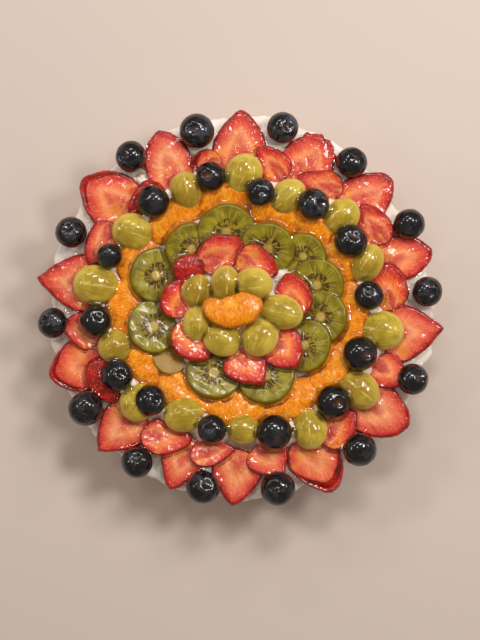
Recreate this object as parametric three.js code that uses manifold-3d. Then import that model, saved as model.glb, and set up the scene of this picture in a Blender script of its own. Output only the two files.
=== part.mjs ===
// A whole round fruit tart: a fluted crust, a layer of cream with an uneven edge,
// and rings of cut fruit laid on it like shingles, each inner ring leaning on the one outside it.
// Millimetres, +Z up. The crust stands on z = 0 and the middle of the tart is x = 0, y = 0.

import * as THREE from 'three';
import { mergeVertices } from 'three/addons/utils/BufferGeometryUtils.js';
import Module from 'manifold-3d';

const wasm = await Module();
wasm.setup();
const { Manifold } = wasm;

// Driving sizes of the crust and the cream
const CRUST_HEIGHT = 24;
const CRUST_TOP_RADIUS = 110.5;
const CRUST_FOOT_RADIUS = 104;
const CRUST_BEVEL = 1.5;
const FLUTES = 32;
const FLUTE_DEPTH = 2.2;
const POINTS_PER_FLUTE = 4;
const CREAM_TOP = 33;
const CREAM_RADIUS = 115;
const CREAM_WAVE = 1.1;
const CREAM_PEAK = 1;
const CREAM_POINTS = 47;

// Where the edge of the cream stays back: the middle of each place, how far and how wide, in degrees
const CREAM_DENTS = [
  { angle: 37, depth: 4.5, spread: 13 },
  { angle: 308, depth: 5, spread: 14 },
];

// Room left between two pieces that touch, and the smallest detail kept after a cut
const GAP = 0.3;
const SMALLEST_DETAIL = 0.12;

// The fruit was laid out from a view straight down on the tart. Angles are degrees,
// counter-clockwise from +X. Distances in the tables are pixels of that view.
const MM_PER_PIXEL = 0.596;

// Heights are measured up from the top of the cream, tilts are degrees, outer end up
const BLUEBERRY_SQUASH = 0.86;
const RIM_BERRY_CLEARANCE = 0.4;
const INNER_BERRY_HEIGHT = 13.4;
const BERRY_LEAN = 38;
const BERRY_SEED = 11;
const GRAPE_DOME = 10;
const OUTER_GRAPE_HEIGHT = 7.9;
const OUTER_GRAPE_TILT = 17;
const CENTRE_GRAPE_HEIGHT = 9.6;
const CENTRE_GRAPE_TILT = 17;
const CENTRE_GRAPE_DOME = 9;
const OUTER_SLICE_THICKNESS = 6.5;
const OUTER_SLICE_HEIGHT = 3.8;
const SECOND_SLICE_THICKNESS = 6;
const SECOND_SLICE_HEIGHT = 6.1;
const SECOND_SLICE_TILT = 12;
const INNER_SLICE_THICKNESS = 5.4;
const INNER_SLICE_HEIGHT = 11;
const INNER_SLICE_TILT = 16;
const MANDARIN_THICKNESS = 16;
const MANDARIN_HEIGHT = 6.25;
const TOP_MANDARIN_THICKNESS = 9;
const TOP_MANDARIN_HEIGHT = 20;
const KIWI_THICKNESS = 5;
const KIWI_HEIGHT = 7.8;
const KIWI_TILT = 16;
const KIWI_ROLL = 3;

const RIM_BLUEBERRIES = [
  { angle: 5, reach: 187, size: 29 },
  { angle: 26.5, reach: 188, size: 30 },
  { angle: 52.8, reach: 183, size: 30 },
  { angle: 77, reach: 185, size: 30 },
  { angle: 104, reach: 182, size: 33 },
  { angle: 126, reach: 187, size: 30 },
  { angle: 156, reach: 186, size: 30 },
  { angle: 184.5, reach: 189, size: 29 },
  { angle: 213, reach: 185, size: 33 },
  { angle: 236, reach: 186, size: 30 },
  { angle: 258, reach: 183, size: 32 },
  { angle: 281.5, reach: 184, size: 33 },
  { angle: 310, reach: 185, size: 32 },
  { angle: 337.5, reach: 186, size: 30 },
];

const INNER_BLUEBERRIES = [
  { angle: 5.5, reach: 128, size: 28 },
  { angle: 31.5, reach: 128, size: 32 },
  { angle: 55, reach: 126, size: 31 },
  { angle: 80.5, reach: 117, size: 27 },
  { angle: 103, reach: 134, size: 28 },
  { angle: 129.5, reach: 137, size: 31 },
  { angle: 158.5, reach: 141, size: 24 },
  { angle: 185, reach: 145, size: 30 },
  { angle: 208.5, reach: 140, size: 30 },
  { angle: 225.5, reach: 129, size: 30 },
  { angle: 256.5, reach: 124, size: 28 },
  { angle: 285, reach: 128, size: 34 },
  { angle: 314.5, reach: 131, size: 33 },
  { angle: 339, reach: 127, size: 33 },
];

// A grape is cut in half along its length. Length runs outward and width across, before the turn.
const OUTER_GRAPES = [
  { angle: 19.5, reach: 134, length: 42, width: 32, turn: 38 },
  { angle: 42.3, reach: 136, length: 41, width: 35, turn: 0 },
  { angle: 67.5, reach: 121, length: 42, width: 33, turn: -27 },
  { angle: 89, reach: 134, length: 44, width: 38, turn: -24 },
  { angle: 115, reach: 130, length: 39, width: 34, turn: -15 },
  { angle: 145, reach: 133, length: 42, width: 38, turn: 15 },
  { angle: 171, reach: 146.5, length: 48, width: 41, turn: 0 },
  { angle: 197, reach: 132, length: 36, width: 34, turn: 0 },
  { angle: 222.5, reach: 140, length: 40, width: 38, turn: 20 },
  { angle: 241.7, reach: 121, length: 42, width: 37, turn: -52 },
  { angle: 271, reach: 122, length: 35, width: 31, turn: 80 },
  { angle: 299.7, reach: 139, length: 43, width: 36, turn: -20 },
  { angle: 325.5, reach: 143.5, length: 46, width: 37, turn: -5 },
  { angle: 351, reach: 143, length: 45, width: 40, turn: 0 },
];

// Listed from the lowest to the one on top
const CENTRE_GRAPES = [
  { angle: 124, reach: 28.8, length: 39, width: 31, turn: -39, rise: 0 },
  { angle: 158.2, reach: 48.5, length: 34, width: 31, turn: -78, rise: 0.4 },
  { angle: 62.4, reach: 26.5, length: 40, width: 36, turn: -52, rise: 0.8 },
  { angle: 198.8, reach: 46.5, length: 37, width: 30, turn: 61, rise: 0.8 },
  { angle: 354.3, reach: 40.2, length: 47, width: 35, turn: -9, rise: 1.2 },
  { angle: 238.5, reach: 36.4, length: 40, width: 34, turn: -84, rise: 1.2 },
  { angle: 303.2, reach: 34.7, length: 41, width: 38, turn: -53, rise: 1.6 },
];

// A strawberry slice runs from its root, where the leaves were cut off, to its tip.
// Blunt 0 is a pointed berry and 1 is a round one.
const OUTER_STRAWBERRIES = [
  { root: [18, 134], tip: [16.5, 201], width: 47, blunt: 0.9 },
  { root: [42, 134], tip: [40.5, 200], width: 55, blunt: 0.7 },
  { root: [66, 132], tip: [64, 192], width: 58, blunt: 0.9 },
  { root: [91, 134], tip: [90, 198], width: 57, blunt: 0.6 },
  { root: [119, 137], tip: [114.5, 197], width: 50, blunt: 0.75 },
  { root: [140, 138], tip: [140, 206], width: 60, blunt: 0.7 },
  { root: [171, 138], tip: [171.5, 207], width: 60, blunt: 0.1 },
  { root: [198, 141], tip: [201, 204], width: 56, blunt: 0.8 },
  { root: [225, 141], tip: [225, 204], width: 54, blunt: 0.1 },
  { root: [249, 139], tip: [249, 197], width: 48, blunt: 0.1 },
  { root: [269, 141], tip: [268.3, 200], width: 53, blunt: 0.2 },
  { root: [296, 141], tip: [296.5, 206], width: 55, blunt: 0.8 },
  { root: [322.5, 141], tip: [323.5, 207], width: 58, blunt: 0.7 },
  { root: [349, 141], tip: [354, 204], width: 60, blunt: 0.2 },
];

const SECOND_STRAWBERRIES = [
  { root: [-1, 151], tip: [18, 150], width: 42, blunt: 0.9 },
  { root: [24, 160], tip: [41, 157], width: 34, blunt: 0.8 },
  { root: [49, 156], tip: [67, 143], width: 32, blunt: 0.4 },
  { root: [71, 136], tip: [84, 163], width: 34, blunt: 0.6 },
  { root: [97.5, 149], tip: [110, 150], width: 30, blunt: 0.8 },
  { root: [122.5, 145], tip: [140, 147], width: 32, blunt: 0.7 },
  { root: [146, 153], tip: [164, 160], width: 34, blunt: 0.8 },
  { root: [190, 141], tip: [185.5, 180], width: 42, blunt: 0.5 },
  { root: [198.5, 152], tip: [217, 160], width: 38, blunt: 0.7 },
  { root: [232, 163], tip: [250, 140], width: 38, blunt: 0.6 },
  { root: [251, 158], tip: [268, 141], width: 28, blunt: 0.3 },
  { root: [277, 137], tip: [284, 175], width: 47, blunt: 0.1 },
  { root: [300.5, 157], tip: [318, 155], width: 40, blunt: 0.8 },
  { root: [338.5, 144], tip: [334.5, 181], width: 38, blunt: 0.4 },
];

const INNER_STRAWBERRIES = [
  { root: [352, 60], tip: [38, 56], width: 38, blunt: 0.8 },
  { root: [94, 53], tip: [44, 51], width: 37, blunt: 0.7 },
  { root: [134, 60], tip: [87, 66], width: 40, blunt: 0.8 },
  { root: [158, 66], tip: [127, 66], width: 34, blunt: 0.8 },
  { root: [190, 62], tip: [153, 68], width: 42, blunt: 0.8 },
  { root: [192, 62], tip: [238, 62], width: 46, blunt: 0.7 },
  { root: [262, 42], tip: [285, 81], width: 46, blunt: 0.2 },
  { root: [318, 40], tip: [314.5, 83], width: 45, blunt: 0.3 },
];

// The four inner slices that lie over one another, by their place in the list above
const FUSED_INNER = [1, 2, 3, 4];

const MANDARINS = [
  { angle: 70, reach: 100, length: 56, width: 38 },
  { angle: 48, reach: 107, length: 56, width: 35 },
  { angle: 27, reach: 110, length: 56, width: 34 },
  { angle: 98, reach: 109, length: 64, width: 36 },
  { angle: 127, reach: 110, length: 66, width: 36 },
  { angle: 153, reach: 116, length: 64, width: 36 },
  { angle: 180, reach: 114, length: 66, width: 40 },
  { angle: 207, reach: 109, length: 66, width: 38 },
  { angle: 236, reach: 101, length: 66, width: 40 },
  { angle: 267, reach: 98, length: 68, width: 44 },
  { angle: 299, reach: 104, length: 68, width: 38 },
  { angle: 326, reach: 106, length: 64, width: 36 },
  { angle: 356.5, reach: 109, length: 72, width: 36 },
];

const KIWIS = [
  { angle: 101, reach: 80, radius: 29, wide: 1 },
  { angle: 66, reach: 66, radius: 26, wide: 1.1 },
  { angle: 40, reach: 82, radius: 23, wide: 1 },
  { angle: 17, reach: 80, radius: 27, wide: 1 },
  { angle: 354, reach: 81, radius: 27, wide: 1 },
  { angle: 330, reach: 75, radius: 26, wide: 1.04 },
  { angle: 290, reach: 73, radius: 28, wide: 1.06 },
  { angle: 247.4, reach: 70.5, radius: 25, wide: 1.05 },
  { angle: 215, reach: 89, radius: 17, wide: 1 },
  { angle: 192, reach: 90, radius: 26, wide: 1.08 },
  { angle: 159, reach: 92, radius: 26, wide: 1.06 },
  { angle: 130, reach: 82, radius: 26, wide: 1.02 },
];

const TOP_MANDARIN = { x: -8, y: -1, length: 60, width: 32, turn: 184 };

const crustMaterial = new THREE.MeshStandardMaterial({ color: 0xcf9a54, roughness: 0.85, metalness: 0 });
const creamMaterial = new THREE.MeshStandardMaterial({ color: 0xf1e8dc, roughness: 0.6, metalness: 0 });
const blueberryMaterial = new THREE.MeshStandardMaterial({ color: 0x1c2230, roughness: 0.35, metalness: 0 });
const grapeMaterial = new THREE.MeshStandardMaterial({ color: 0xa8a13c, roughness: 0.25, metalness: 0 });
const strawberryMaterial = new THREE.MeshStandardMaterial({ color: 0xd2432f, roughness: 0.3, metalness: 0 });
const mandarinMaterial = new THREE.MeshStandardMaterial({ color: 0xf08a1c, roughness: 0.3, metalness: 0 });
const kiwiMaterial = new THREE.MeshStandardMaterial({ color: 0x7f9436, roughness: 0.3, metalness: 0 });

// Repeatable random numbers from 0 to 1
function makeRandom(seed) {
  let state = seed;
  return () => {
    state = (state * 1664525 + 1013904223) % 4294967296;
    return state / 4294967296;
  };
}

function radians(degrees) {
  return (degrees * Math.PI) / 180;
}

function toMm(pixels) {
  return pixels * MM_PER_PIXEL;
}

// A closed solid through rings of points, lowest ring first, each ring counter-clockwise from above
function loft(rings) {
  const sides = rings[0].length;
  const positions = [];
  const faces = [];
  rings.forEach((ring) => ring.forEach((point) => positions.push(point[0], point[1], point[2])));
  for (let level = 0; level < rings.length - 1; level += 1) {
    for (let side = 0; side < sides; side += 1) {
      const next = (side + 1) % sides;
      const low = level * sides;
      const high = low + sides;
      faces.push(low + side, low + next, high + next);
      faces.push(low + side, high + next, high + side);
    }
  }
  const foot = addMiddle(positions, rings[0]);
  const head = addMiddle(positions, rings[rings.length - 1]);
  const last = (rings.length - 1) * sides;
  for (let side = 0; side < sides; side += 1) {
    const next = (side + 1) % sides;
    faces.push(foot, next, side);
    faces.push(head, last + side, last + next);
  }
  return new Manifold(new wasm.Mesh({
    numProp: 3,
    vertProperties: new Float32Array(positions),
    triVerts: new Uint32Array(faces),
  }));
}

// Adds the middle point of a ring and gives its number
function addMiddle(positions, ring) {
  const middle = [0, 0, 0];
  ring.forEach((point) => {
    middle[0] += point[0] / ring.length;
    middle[1] += point[1] / ring.length;
    middle[2] += point[2] / ring.length;
  });
  positions.push(middle[0], middle[1], middle[2]);
  return positions.length / 3 - 1;
}

// One ring of points from a function of the turn, which runs from 0 to a full circle
function ringOf(count, pointAt) {
  const ring = [];
  for (let index = 0; index < count; index += 1) {
    ring.push(pointAt((index / count) * Math.PI * 2));
  }
  return ring;
}

// Wraps a solid as a named mesh
function makeMesh(name, solid, material) {
  const mesh = solid.getMesh();
  const geometry = new THREE.BufferGeometry();
  geometry.setAttribute('position', new THREE.BufferAttribute(new Float32Array(mesh.vertProperties), 3));
  geometry.setIndex(new THREE.BufferAttribute(new Uint32Array(mesh.triVerts), 1));
  const merged = mergeVertices(geometry);
  merged.computeVertexNormals();
  const result = new THREE.Mesh(merged, material);
  result.name = name;
  return result;
}

// Keeps the largest body of a solid, so that no loose scrap of a cut is left
function largestBody(solid) {
  const bodies = solid.decompose();
  let largest = bodies[0];
  bodies.forEach((body) => {
    if (body.volume() > largest.volume()) largest = body;
  });
  return largest;
}

// Cuts a piece where others lie over it
function cutBy(solid, cutters) {
  const cut = solid.subtract(Manifold.union(cutters));
  return largestBody(cut.simplify(SMALLEST_DETAIL));
}

// The solid disc of pastry with flutes round its sloping side
function crustSolid() {
  const levels = [
    { height: 0, radius: CRUST_FOOT_RADIUS },
    { height: CRUST_HEIGHT - CRUST_BEVEL, radius: CRUST_TOP_RADIUS },
    { height: CRUST_HEIGHT, radius: CRUST_TOP_RADIUS - CRUST_BEVEL },
  ];
  const rings = levels.map((level) => ringOf(FLUTES * POINTS_PER_FLUTE, (turn) => {
    const flute = Math.abs(Math.sin((turn * FLUTES) / 2));
    const radius = level.radius - FLUTE_DEPTH * (1 - flute);
    return [radius * Math.cos(turn), radius * Math.sin(turn), level.height];
  }));
  return loft(rings);
}

// How far the edge of the cream bulges in or out at a turn
function creamWave(turn) {
  const slow = Math.sin(turn * 5 + 0.7) * 0.5;
  const middle = Math.sin(turn * 13 + 2.1) * 0.7;
  const quick = Math.sin(turn * 23 + 0.4) * 0.6;
  let dents = 0;
  CREAM_DENTS.forEach((dent) => {
    const away = (THREE.MathUtils.radToDeg(turn) - dent.angle) / dent.spread;
    dents += dent.depth * Math.exp(-away * away);
  });
  return CREAM_WAVE * (slow + middle + quick) - dents;
}

// Small peaks that stand up along the edge of the cream
function creamPeak(turn) {
  return CREAM_PEAK * Math.max(0, Math.sin(turn * 17 + 1.3)) ** 3;
}

function creamSolid() {
  const bottom = CRUST_HEIGHT + GAP;
  const depth = CREAM_TOP - bottom;
  const levels = [
    { height: bottom, inset: 4, wave: 0.4, peak: 0 },
    { height: bottom + depth * 0.3, inset: 0.4, wave: 0.9, peak: 0 },
    { height: bottom + depth * 0.65, inset: 0, wave: 1.2, peak: 0.2 },
    { height: CREAM_TOP - 0.8, inset: 2.6, wave: 1, peak: 1 },
    { height: CREAM_TOP, inset: 7, wave: 0.4, peak: 0 },
  ];
  const rings = levels.map((level) => ringOf(CREAM_POINTS, (turn) => {
    const radius = CREAM_RADIUS - level.inset + creamWave(turn) * level.wave;
    const height = level.height + creamPeak(turn) * level.peak;
    return [radius * Math.cos(turn), radius * Math.sin(turn), height];
  }));
  return loft(rings);
}

// A squashed ball with the shallow cup of its crown on top
function blueberrySolid(size) {
  const sides = 9;
  const radius = size / 2;
  const levels = [
    { out: 0.48, up: -0.88 },
    { out: 0.96, up: -0.3 },
    { out: 0.93, up: 0.4 },
    { out: 0.42, up: 0.95 },
    { out: 0.24, up: 0.78 },
  ];
  const rings = levels.map((level) => ringOf(sides, (turn) => [
    radius * level.out * Math.cos(turn),
    radius * level.out * Math.sin(turn),
    radius * level.up * BLUEBERRY_SQUASH,
  ]));
  return loft(rings);
}

// The room round a berry, with few and flat sides that all lie outside it
function berryClearance(size) {
  const sides = 7;
  const radius = (size / 2 + GAP) / Math.cos(Math.PI / sides);
  const levels = [
    { out: 0.5, up: -0.98 },
    { out: 0.98, up: -0.4 },
    { out: 0.98, up: 0.5 },
  ];
  const rings = levels.map((level) => ringOf(sides, (turn) => [
    radius * level.out * Math.cos(turn),
    radius * level.out * Math.sin(turn),
    radius * level.up * BLUEBERRY_SQUASH,
  ]));
  return loft(rings);
}

// Half a grape, flat side down
function grapeSolid(length, width, dome, grow) {
  const sides = 10;
  const levels = [
    { out: 1, up: 0 },
    { out: 0.92, up: 0.45 },
    { out: 0.62, up: 0.82 },
    { out: 0.2, up: 1 },
  ];
  const rings = levels.map((level) => ringOf(sides, (turn) => [
    (length / 2 + grow) * level.out * Math.cos(turn),
    (width / 2 + grow) * level.out * Math.sin(turn),
    (dome + 2 * grow) * level.up - grow,
  ]));
  return loft(rings);
}

// Half the width of a strawberry slice at a place along it, 0 at the root and 1 at the tip
function strawberryHalfWidth(along, blunt) {
  const shoulder = 0.36;
  if (along < shoulder) {
    const back = (shoulder - along) / shoulder;
    return Math.sqrt(1 - back * back);
  }
  const forward = (along - shoulder) / (1 - shoulder);
  const power = 1.25 + 0.75 * blunt;
  const fullness = 0.85 - 0.35 * blunt;
  return Math.max(0, 1 - forward ** power) ** fullness;
}

// A lengthwise slice of strawberry, tip towards +X, the cut face up
function strawberrySolid(length, width, thickness, blunt, grow) {
  const sides = 12;
  const levels = [
    { out: 0.8, up: -0.5 },
    { out: 1, up: -0.08 },
    { out: 0.94, up: 0.5 },
  ];
  const rings = levels.map((level) => ringOf(sides, (turn) => {
    const along = (1 + Math.cos(turn)) / 2;
    const half = strawberryHalfWidth(along, blunt) * (width / 2 + grow) * level.out;
    return [
      Math.cos(turn) * (length / 2 + grow) * level.out,
      Math.sign(Math.sin(turn)) * half * (Math.abs(Math.sin(turn)) > 0.01 ? 1 : 0),
      (thickness + 2 * grow) * level.up,
    ];
  }));
  return loft(rings);
}

// A mandarin segment lying on one flat side, its length along X and its round back towards +Y
function mandarinSolid(length, width, thickness, stations, sides, grow) {
  const rings = [];
  for (let index = 0; index < stations; index += 1) {
    const turn = ((index + 0.35) / (stations - 0.3)) * Math.PI;
    const along = -Math.cos(turn);
    const taper = Math.sqrt(Math.max(0, 1 - along * along));
    const fullness = taper ** 0.75;
    const bow = length * 0.11 * (taper * taper - 0.5);
    rings.push(ringOf(sides, (around) => {
      const wedge = 0.7 + 0.3 * Math.cos(around);
      return [
        along * (length / 2 + grow),
        bow + Math.cos(around) * (width / 2 + grow) * fullness,
        Math.sin(around) * wedge * (thickness / 2 + grow) * fullness,
      ];
    }));
  }
  return loft(rings);
}

// A round slice of kiwi, a little wider than long where the kiwi was oval
function kiwiSolid(radius, wide, grow) {
  const sides = 10;
  const levels = [
    { out: 0.88, up: -0.5 },
    { out: 1, up: -0.05 },
    { out: 0.92, up: 0.5 },
  ];
  const rings = levels.map((level) => ringOf(sides, (turn) => [
    Math.cos(turn) * (radius + grow) * level.out,
    Math.sin(turn) * (radius * wide + grow) * level.out,
    (KIWI_THICKNESS + 2 * grow) * level.up,
  ]));
  return loft(rings);
}

// Moves a piece from the middle out to its place, with its own turn and lean
function setInPlace(solid, place) {
  const turned = solid.rotate([place.roll ?? 0, 0, place.turn ?? 0]);
  const tilted = turned.rotate([0, -(place.tilt ?? 0), 0]);
  return tilted.translate([toMm(place.reach), 0, CREAM_TOP + place.height]).rotate([0, 0, place.angle]);
}

// The length, the middle and the direction of a slice from its root and its tip
function sliceAxis(slice) {
  const [rootAngle, rootReach] = slice.root;
  const [tipAngle, tipReach] = slice.tip;
  const rootX = rootReach * Math.cos(radians(rootAngle));
  const rootY = rootReach * Math.sin(radians(rootAngle));
  const tipX = tipReach * Math.cos(radians(tipAngle));
  const tipY = tipReach * Math.sin(radians(tipAngle));
  const middleX = (rootX + tipX) / 2;
  const middleY = (rootY + tipY) / 2;
  const angle = THREE.MathUtils.radToDeg(Math.atan2(middleY, middleX));
  return {
    length: toMm(Math.hypot(tipX - rootX, tipY - rootY)),
    angle,
    reach: Math.hypot(middleX, middleY),
    turn: THREE.MathUtils.radToDeg(Math.atan2(tipY - rootY, tipX - rootX)) - angle,
  };
}

// A strawberry slice in its place
function placedSlice(slice, thickness, height, tilt, grow) {
  const axis = sliceAxis(slice);
  const solid = strawberrySolid(axis.length, toMm(slice.width), thickness, slice.blunt, grow);
  return setInPlace(solid, { ...axis, height, tilt });
}

// A berry or its clearance in its place
function placedBerry(solid, berry, height, lean) {
  const leaning = solid.rotate([0, lean.tip, 0]);
  return setInPlace(leaning, { angle: berry.angle, reach: berry.reach, turn: lean.turn, height });
}

// A random lean for each berry, so that the crowns look different ways
function berryLeans(count, random) {
  const leans = [];
  for (let index = 0; index < count; index += 1) {
    leans.push({ tip: BERRY_LEAN * (0.3 + 0.7 * random()), turn: 360 * random() });
  }
  return leans;
}

function placedOuterGrape(grape, grow) {
  const solid = grapeSolid(toMm(grape.length), toMm(grape.width), GRAPE_DOME, grow);
  return setInPlace(solid, { ...grape, height: OUTER_GRAPE_HEIGHT, tilt: OUTER_GRAPE_TILT });
}

function placedCentreGrape(grape, grow) {
  const solid = grapeSolid(toMm(grape.length), toMm(grape.width), CENTRE_GRAPE_DOME, grow);
  return setInPlace(solid, { ...grape, height: CENTRE_GRAPE_HEIGHT + grape.rise, tilt: CENTRE_GRAPE_TILT });
}

function placedMandarin(segment, grow) {
  const solid = mandarinSolid(toMm(segment.length), toMm(segment.width), MANDARIN_THICKNESS, 5, 7, grow);
  return setInPlace(solid, { ...segment, turn: -90, height: MANDARIN_HEIGHT });
}

function placedTopMandarin(grow) {
  const { x, y, length, width, turn } = TOP_MANDARIN;
  return mandarinSolid(toMm(length), toMm(width), TOP_MANDARIN_THICKNESS, 7, 10, grow)
    .rotate([0, 0, turn])
    .translate([toMm(x), toMm(y), CREAM_TOP + TOP_MANDARIN_HEIGHT]);
}

function placedKiwi(slice, grow) {
  const solid = kiwiSolid(toMm(slice.radius), slice.wide, grow);
  return setInPlace(solid, { ...slice, roll: KIWI_ROLL, height: KIWI_HEIGHT, tilt: KIWI_TILT });
}

// Number with two digits, so that names sort in order
function numbered(name, index) {
  return `${name}_${String(index + 1).padStart(2, '0')}`;
}

// Every fruit piece, from the ones on top down, each cut to clear those that lie over it
function fruitMeshes() {
  const meshes = [];
  const random = makeRandom(BERRY_SEED);
  const innerLeans = berryLeans(INNER_BLUEBERRIES.length, random);
  const rimLeans = berryLeans(RIM_BLUEBERRIES.length, random);

  const topCutter = placedTopMandarin(GAP);
  meshes.push(makeMesh('top_mandarin', placedTopMandarin(0), mandarinMaterial));

  const centreCutters = CENTRE_GRAPES.map((grape) => placedCentreGrape(grape, GAP));
  CENTRE_GRAPES.forEach((grape, index) => {
    const above = [topCutter, ...centreCutters.slice(index + 1)];
    const solid = cutBy(placedCentreGrape(grape, 0), above);
    meshes.push(makeMesh(numbered('centre_grape', index), solid, grapeMaterial));
  });

  const centre = [topCutter, ...centreCutters];
  const innerSlices = (grow) => INNER_STRAWBERRIES.map((slice) => placedSlice(
    slice,
    INNER_SLICE_THICKNESS,
    INNER_SLICE_HEIGHT,
    INNER_SLICE_TILT,
    grow,
  ));
  const innerPlain = innerSlices(0);
  const innerCutters = innerSlices(GAP);
  const fused = Manifold.union(FUSED_INNER.map((index) => innerPlain[index]));
  const others = innerPlain.map((solid, index) => index).filter((index) => !FUSED_INNER.includes(index));
  const fusedSolid = cutBy(fused, centre);
  meshes.push(makeMesh('inner_strawberry_fan', fusedSolid, strawberryMaterial));
  others.forEach((index, order) => {
    const later = others.slice(order + 1).map((other) => innerCutters[other]);
    const fan = FUSED_INNER.map((other) => innerCutters[other]);
    const solid = cutBy(innerPlain[index], [...centre, ...fan, ...later]);
    meshes.push(makeMesh(numbered('inner_strawberry', order), solid, strawberryMaterial));
  });

  const kiwiCutters = KIWIS.map((slice) => placedKiwi(slice, GAP));
  const kiwiRing = Manifold.union(KIWIS.map((slice) => placedKiwi(slice, 0)));
  const kiwiSolidCut = cutBy(kiwiRing, [...centre, ...innerCutters]);
  meshes.push(makeMesh('kiwi_ring', kiwiSolidCut, kiwiMaterial));

  const innerBerryCutters = [];
  INNER_BLUEBERRIES.forEach((berry, index) => {
    const size = toMm(berry.size);
    const solid = placedBerry(blueberrySolid(size), berry, INNER_BERRY_HEIGHT, innerLeans[index]);
    meshes.push(makeMesh(numbered('inner_blueberry', index), solid, blueberryMaterial));
    innerBerryCutters.push(placedBerry(berryClearance(size), berry, INNER_BERRY_HEIGHT, innerLeans[index]));
  });

  const mandarinCutters = MANDARINS.map((segment) => placedMandarin(segment, GAP));
  const mandarinRing = Manifold.union(MANDARINS.map((segment) => placedMandarin(segment, 0)));
  const overMandarins = [...kiwiCutters, ...innerBerryCutters];
  meshes.push(makeMesh('mandarin_ring', cutBy(mandarinRing, overMandarins), mandarinMaterial));

  const grapeCutters = OUTER_GRAPES.map((grape) => placedOuterGrape(grape, GAP));
  OUTER_GRAPES.forEach((grape, index) => {
    const above = [...innerBerryCutters, ...grapeCutters.slice(index + 1), ...mandarinCutters];
    const solid = cutBy(placedOuterGrape(grape, 0), above);
    meshes.push(makeMesh(numbered('outer_grape', index), solid, grapeMaterial));
  });

  const rimBerryCutters = [];
  RIM_BLUEBERRIES.forEach((berry, index) => {
    const size = toMm(berry.size);
    const height = RIM_BERRY_CLEARANCE + size / 2;
    const solid = placedBerry(blueberrySolid(size), berry, height, rimLeans[index]);
    meshes.push(makeMesh(numbered('rim_blueberry', index), solid, blueberryMaterial));
    rimBerryCutters.push(placedBerry(berryClearance(size), berry, height, rimLeans[index]));
  });

  const outerSlices = OUTER_STRAWBERRIES.map((slice) => placedSlice(
    slice,
    OUTER_SLICE_THICKNESS,
    OUTER_SLICE_HEIGHT,
    0,
    0,
  ));
  const secondSlices = SECOND_STRAWBERRIES.map((slice) => placedSlice(
    slice,
    SECOND_SLICE_THICKNESS,
    SECOND_SLICE_HEIGHT,
    SECOND_SLICE_TILT,
    0,
  ));
  const strawberryRing = Manifold.union([...outerSlices, ...secondSlices]);
  const overStrawberries = [...rimBerryCutters, ...innerBerryCutters, ...grapeCutters, ...mandarinCutters];
  meshes.push(makeMesh('strawberry_ring', cutBy(strawberryRing, overStrawberries), strawberryMaterial));
  return meshes;
}

function buildTart() {
  const tart = new THREE.Group();
  tart.name = 'fruit_tart';
  tart.add(makeMesh('crust', crustSolid(), crustMaterial));
  tart.add(makeMesh('cream', creamSolid(), creamMaterial));
  fruitMeshes().forEach((mesh) => tart.add(mesh));
  return tart;
}

export default buildTart();
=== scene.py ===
"""A round fruit tart: a fluted crust, a layer of cream and rings of cut fruit under a clear glaze."""

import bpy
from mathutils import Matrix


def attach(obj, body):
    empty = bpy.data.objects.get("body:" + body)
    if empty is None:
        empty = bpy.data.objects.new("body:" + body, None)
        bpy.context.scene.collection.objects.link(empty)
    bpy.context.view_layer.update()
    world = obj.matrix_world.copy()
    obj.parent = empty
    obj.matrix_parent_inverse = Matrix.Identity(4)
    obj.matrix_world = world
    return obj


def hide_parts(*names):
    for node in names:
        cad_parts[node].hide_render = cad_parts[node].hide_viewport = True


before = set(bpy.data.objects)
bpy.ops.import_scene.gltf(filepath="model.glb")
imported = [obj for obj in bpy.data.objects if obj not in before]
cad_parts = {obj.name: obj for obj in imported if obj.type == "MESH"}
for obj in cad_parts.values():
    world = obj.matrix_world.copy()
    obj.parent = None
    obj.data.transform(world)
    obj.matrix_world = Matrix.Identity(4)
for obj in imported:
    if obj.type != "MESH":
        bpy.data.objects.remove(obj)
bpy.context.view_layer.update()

import logging
import math
from collections.abc import Sequence
from dataclasses import dataclass, field
from enum import Enum
from typing import Any

import bpy
import numpy as np
from mathutils import Vector

LOG = logging.getLogger("tart")

# Sizes and heights are in mm unless they say otherwise, and angles in degrees, counted from the right
# against the clock. The fruit's reach from the middle and its size from above are in steps.
MM = 0.001
STEP_MM = 0.596
CRUST_TOP = 24.0
CREAM_TOP = 33.0
FULL_TURN = 2 * math.pi

# The curve from a screen's levels to light: a straight start, then a power.
SCREEN_START = 0.04045
SCREEN_SLOPE = 12.92
SCREEN_SHIFT = 0.055
SCREEN_POWER = 2.4

Colour = tuple[float, float, float, float]
Triple = tuple[float, float, float]


def srgb(red: int, green: int, blue: int) -> Colour:
    """Gives the linear colour of a colour as a screen shows it.

    Args:
        red: Red from 0 to 255.
        green: Green from 0 to 255.
        blue: Blue from 0 to 255.

    Returns:
        The linear colour with full cover.
    """
    levels = []
    for level in (red, green, blue):
        part = level / 255
        curve = ((part + SCREEN_SHIFT) / (1 + SCREEN_SHIFT)) ** SCREEN_POWER
        levels.append(part / SCREEN_SLOPE if part <= SCREEN_START else curve)
    return (levels[0], levels[1], levels[2], 1.0)


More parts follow.
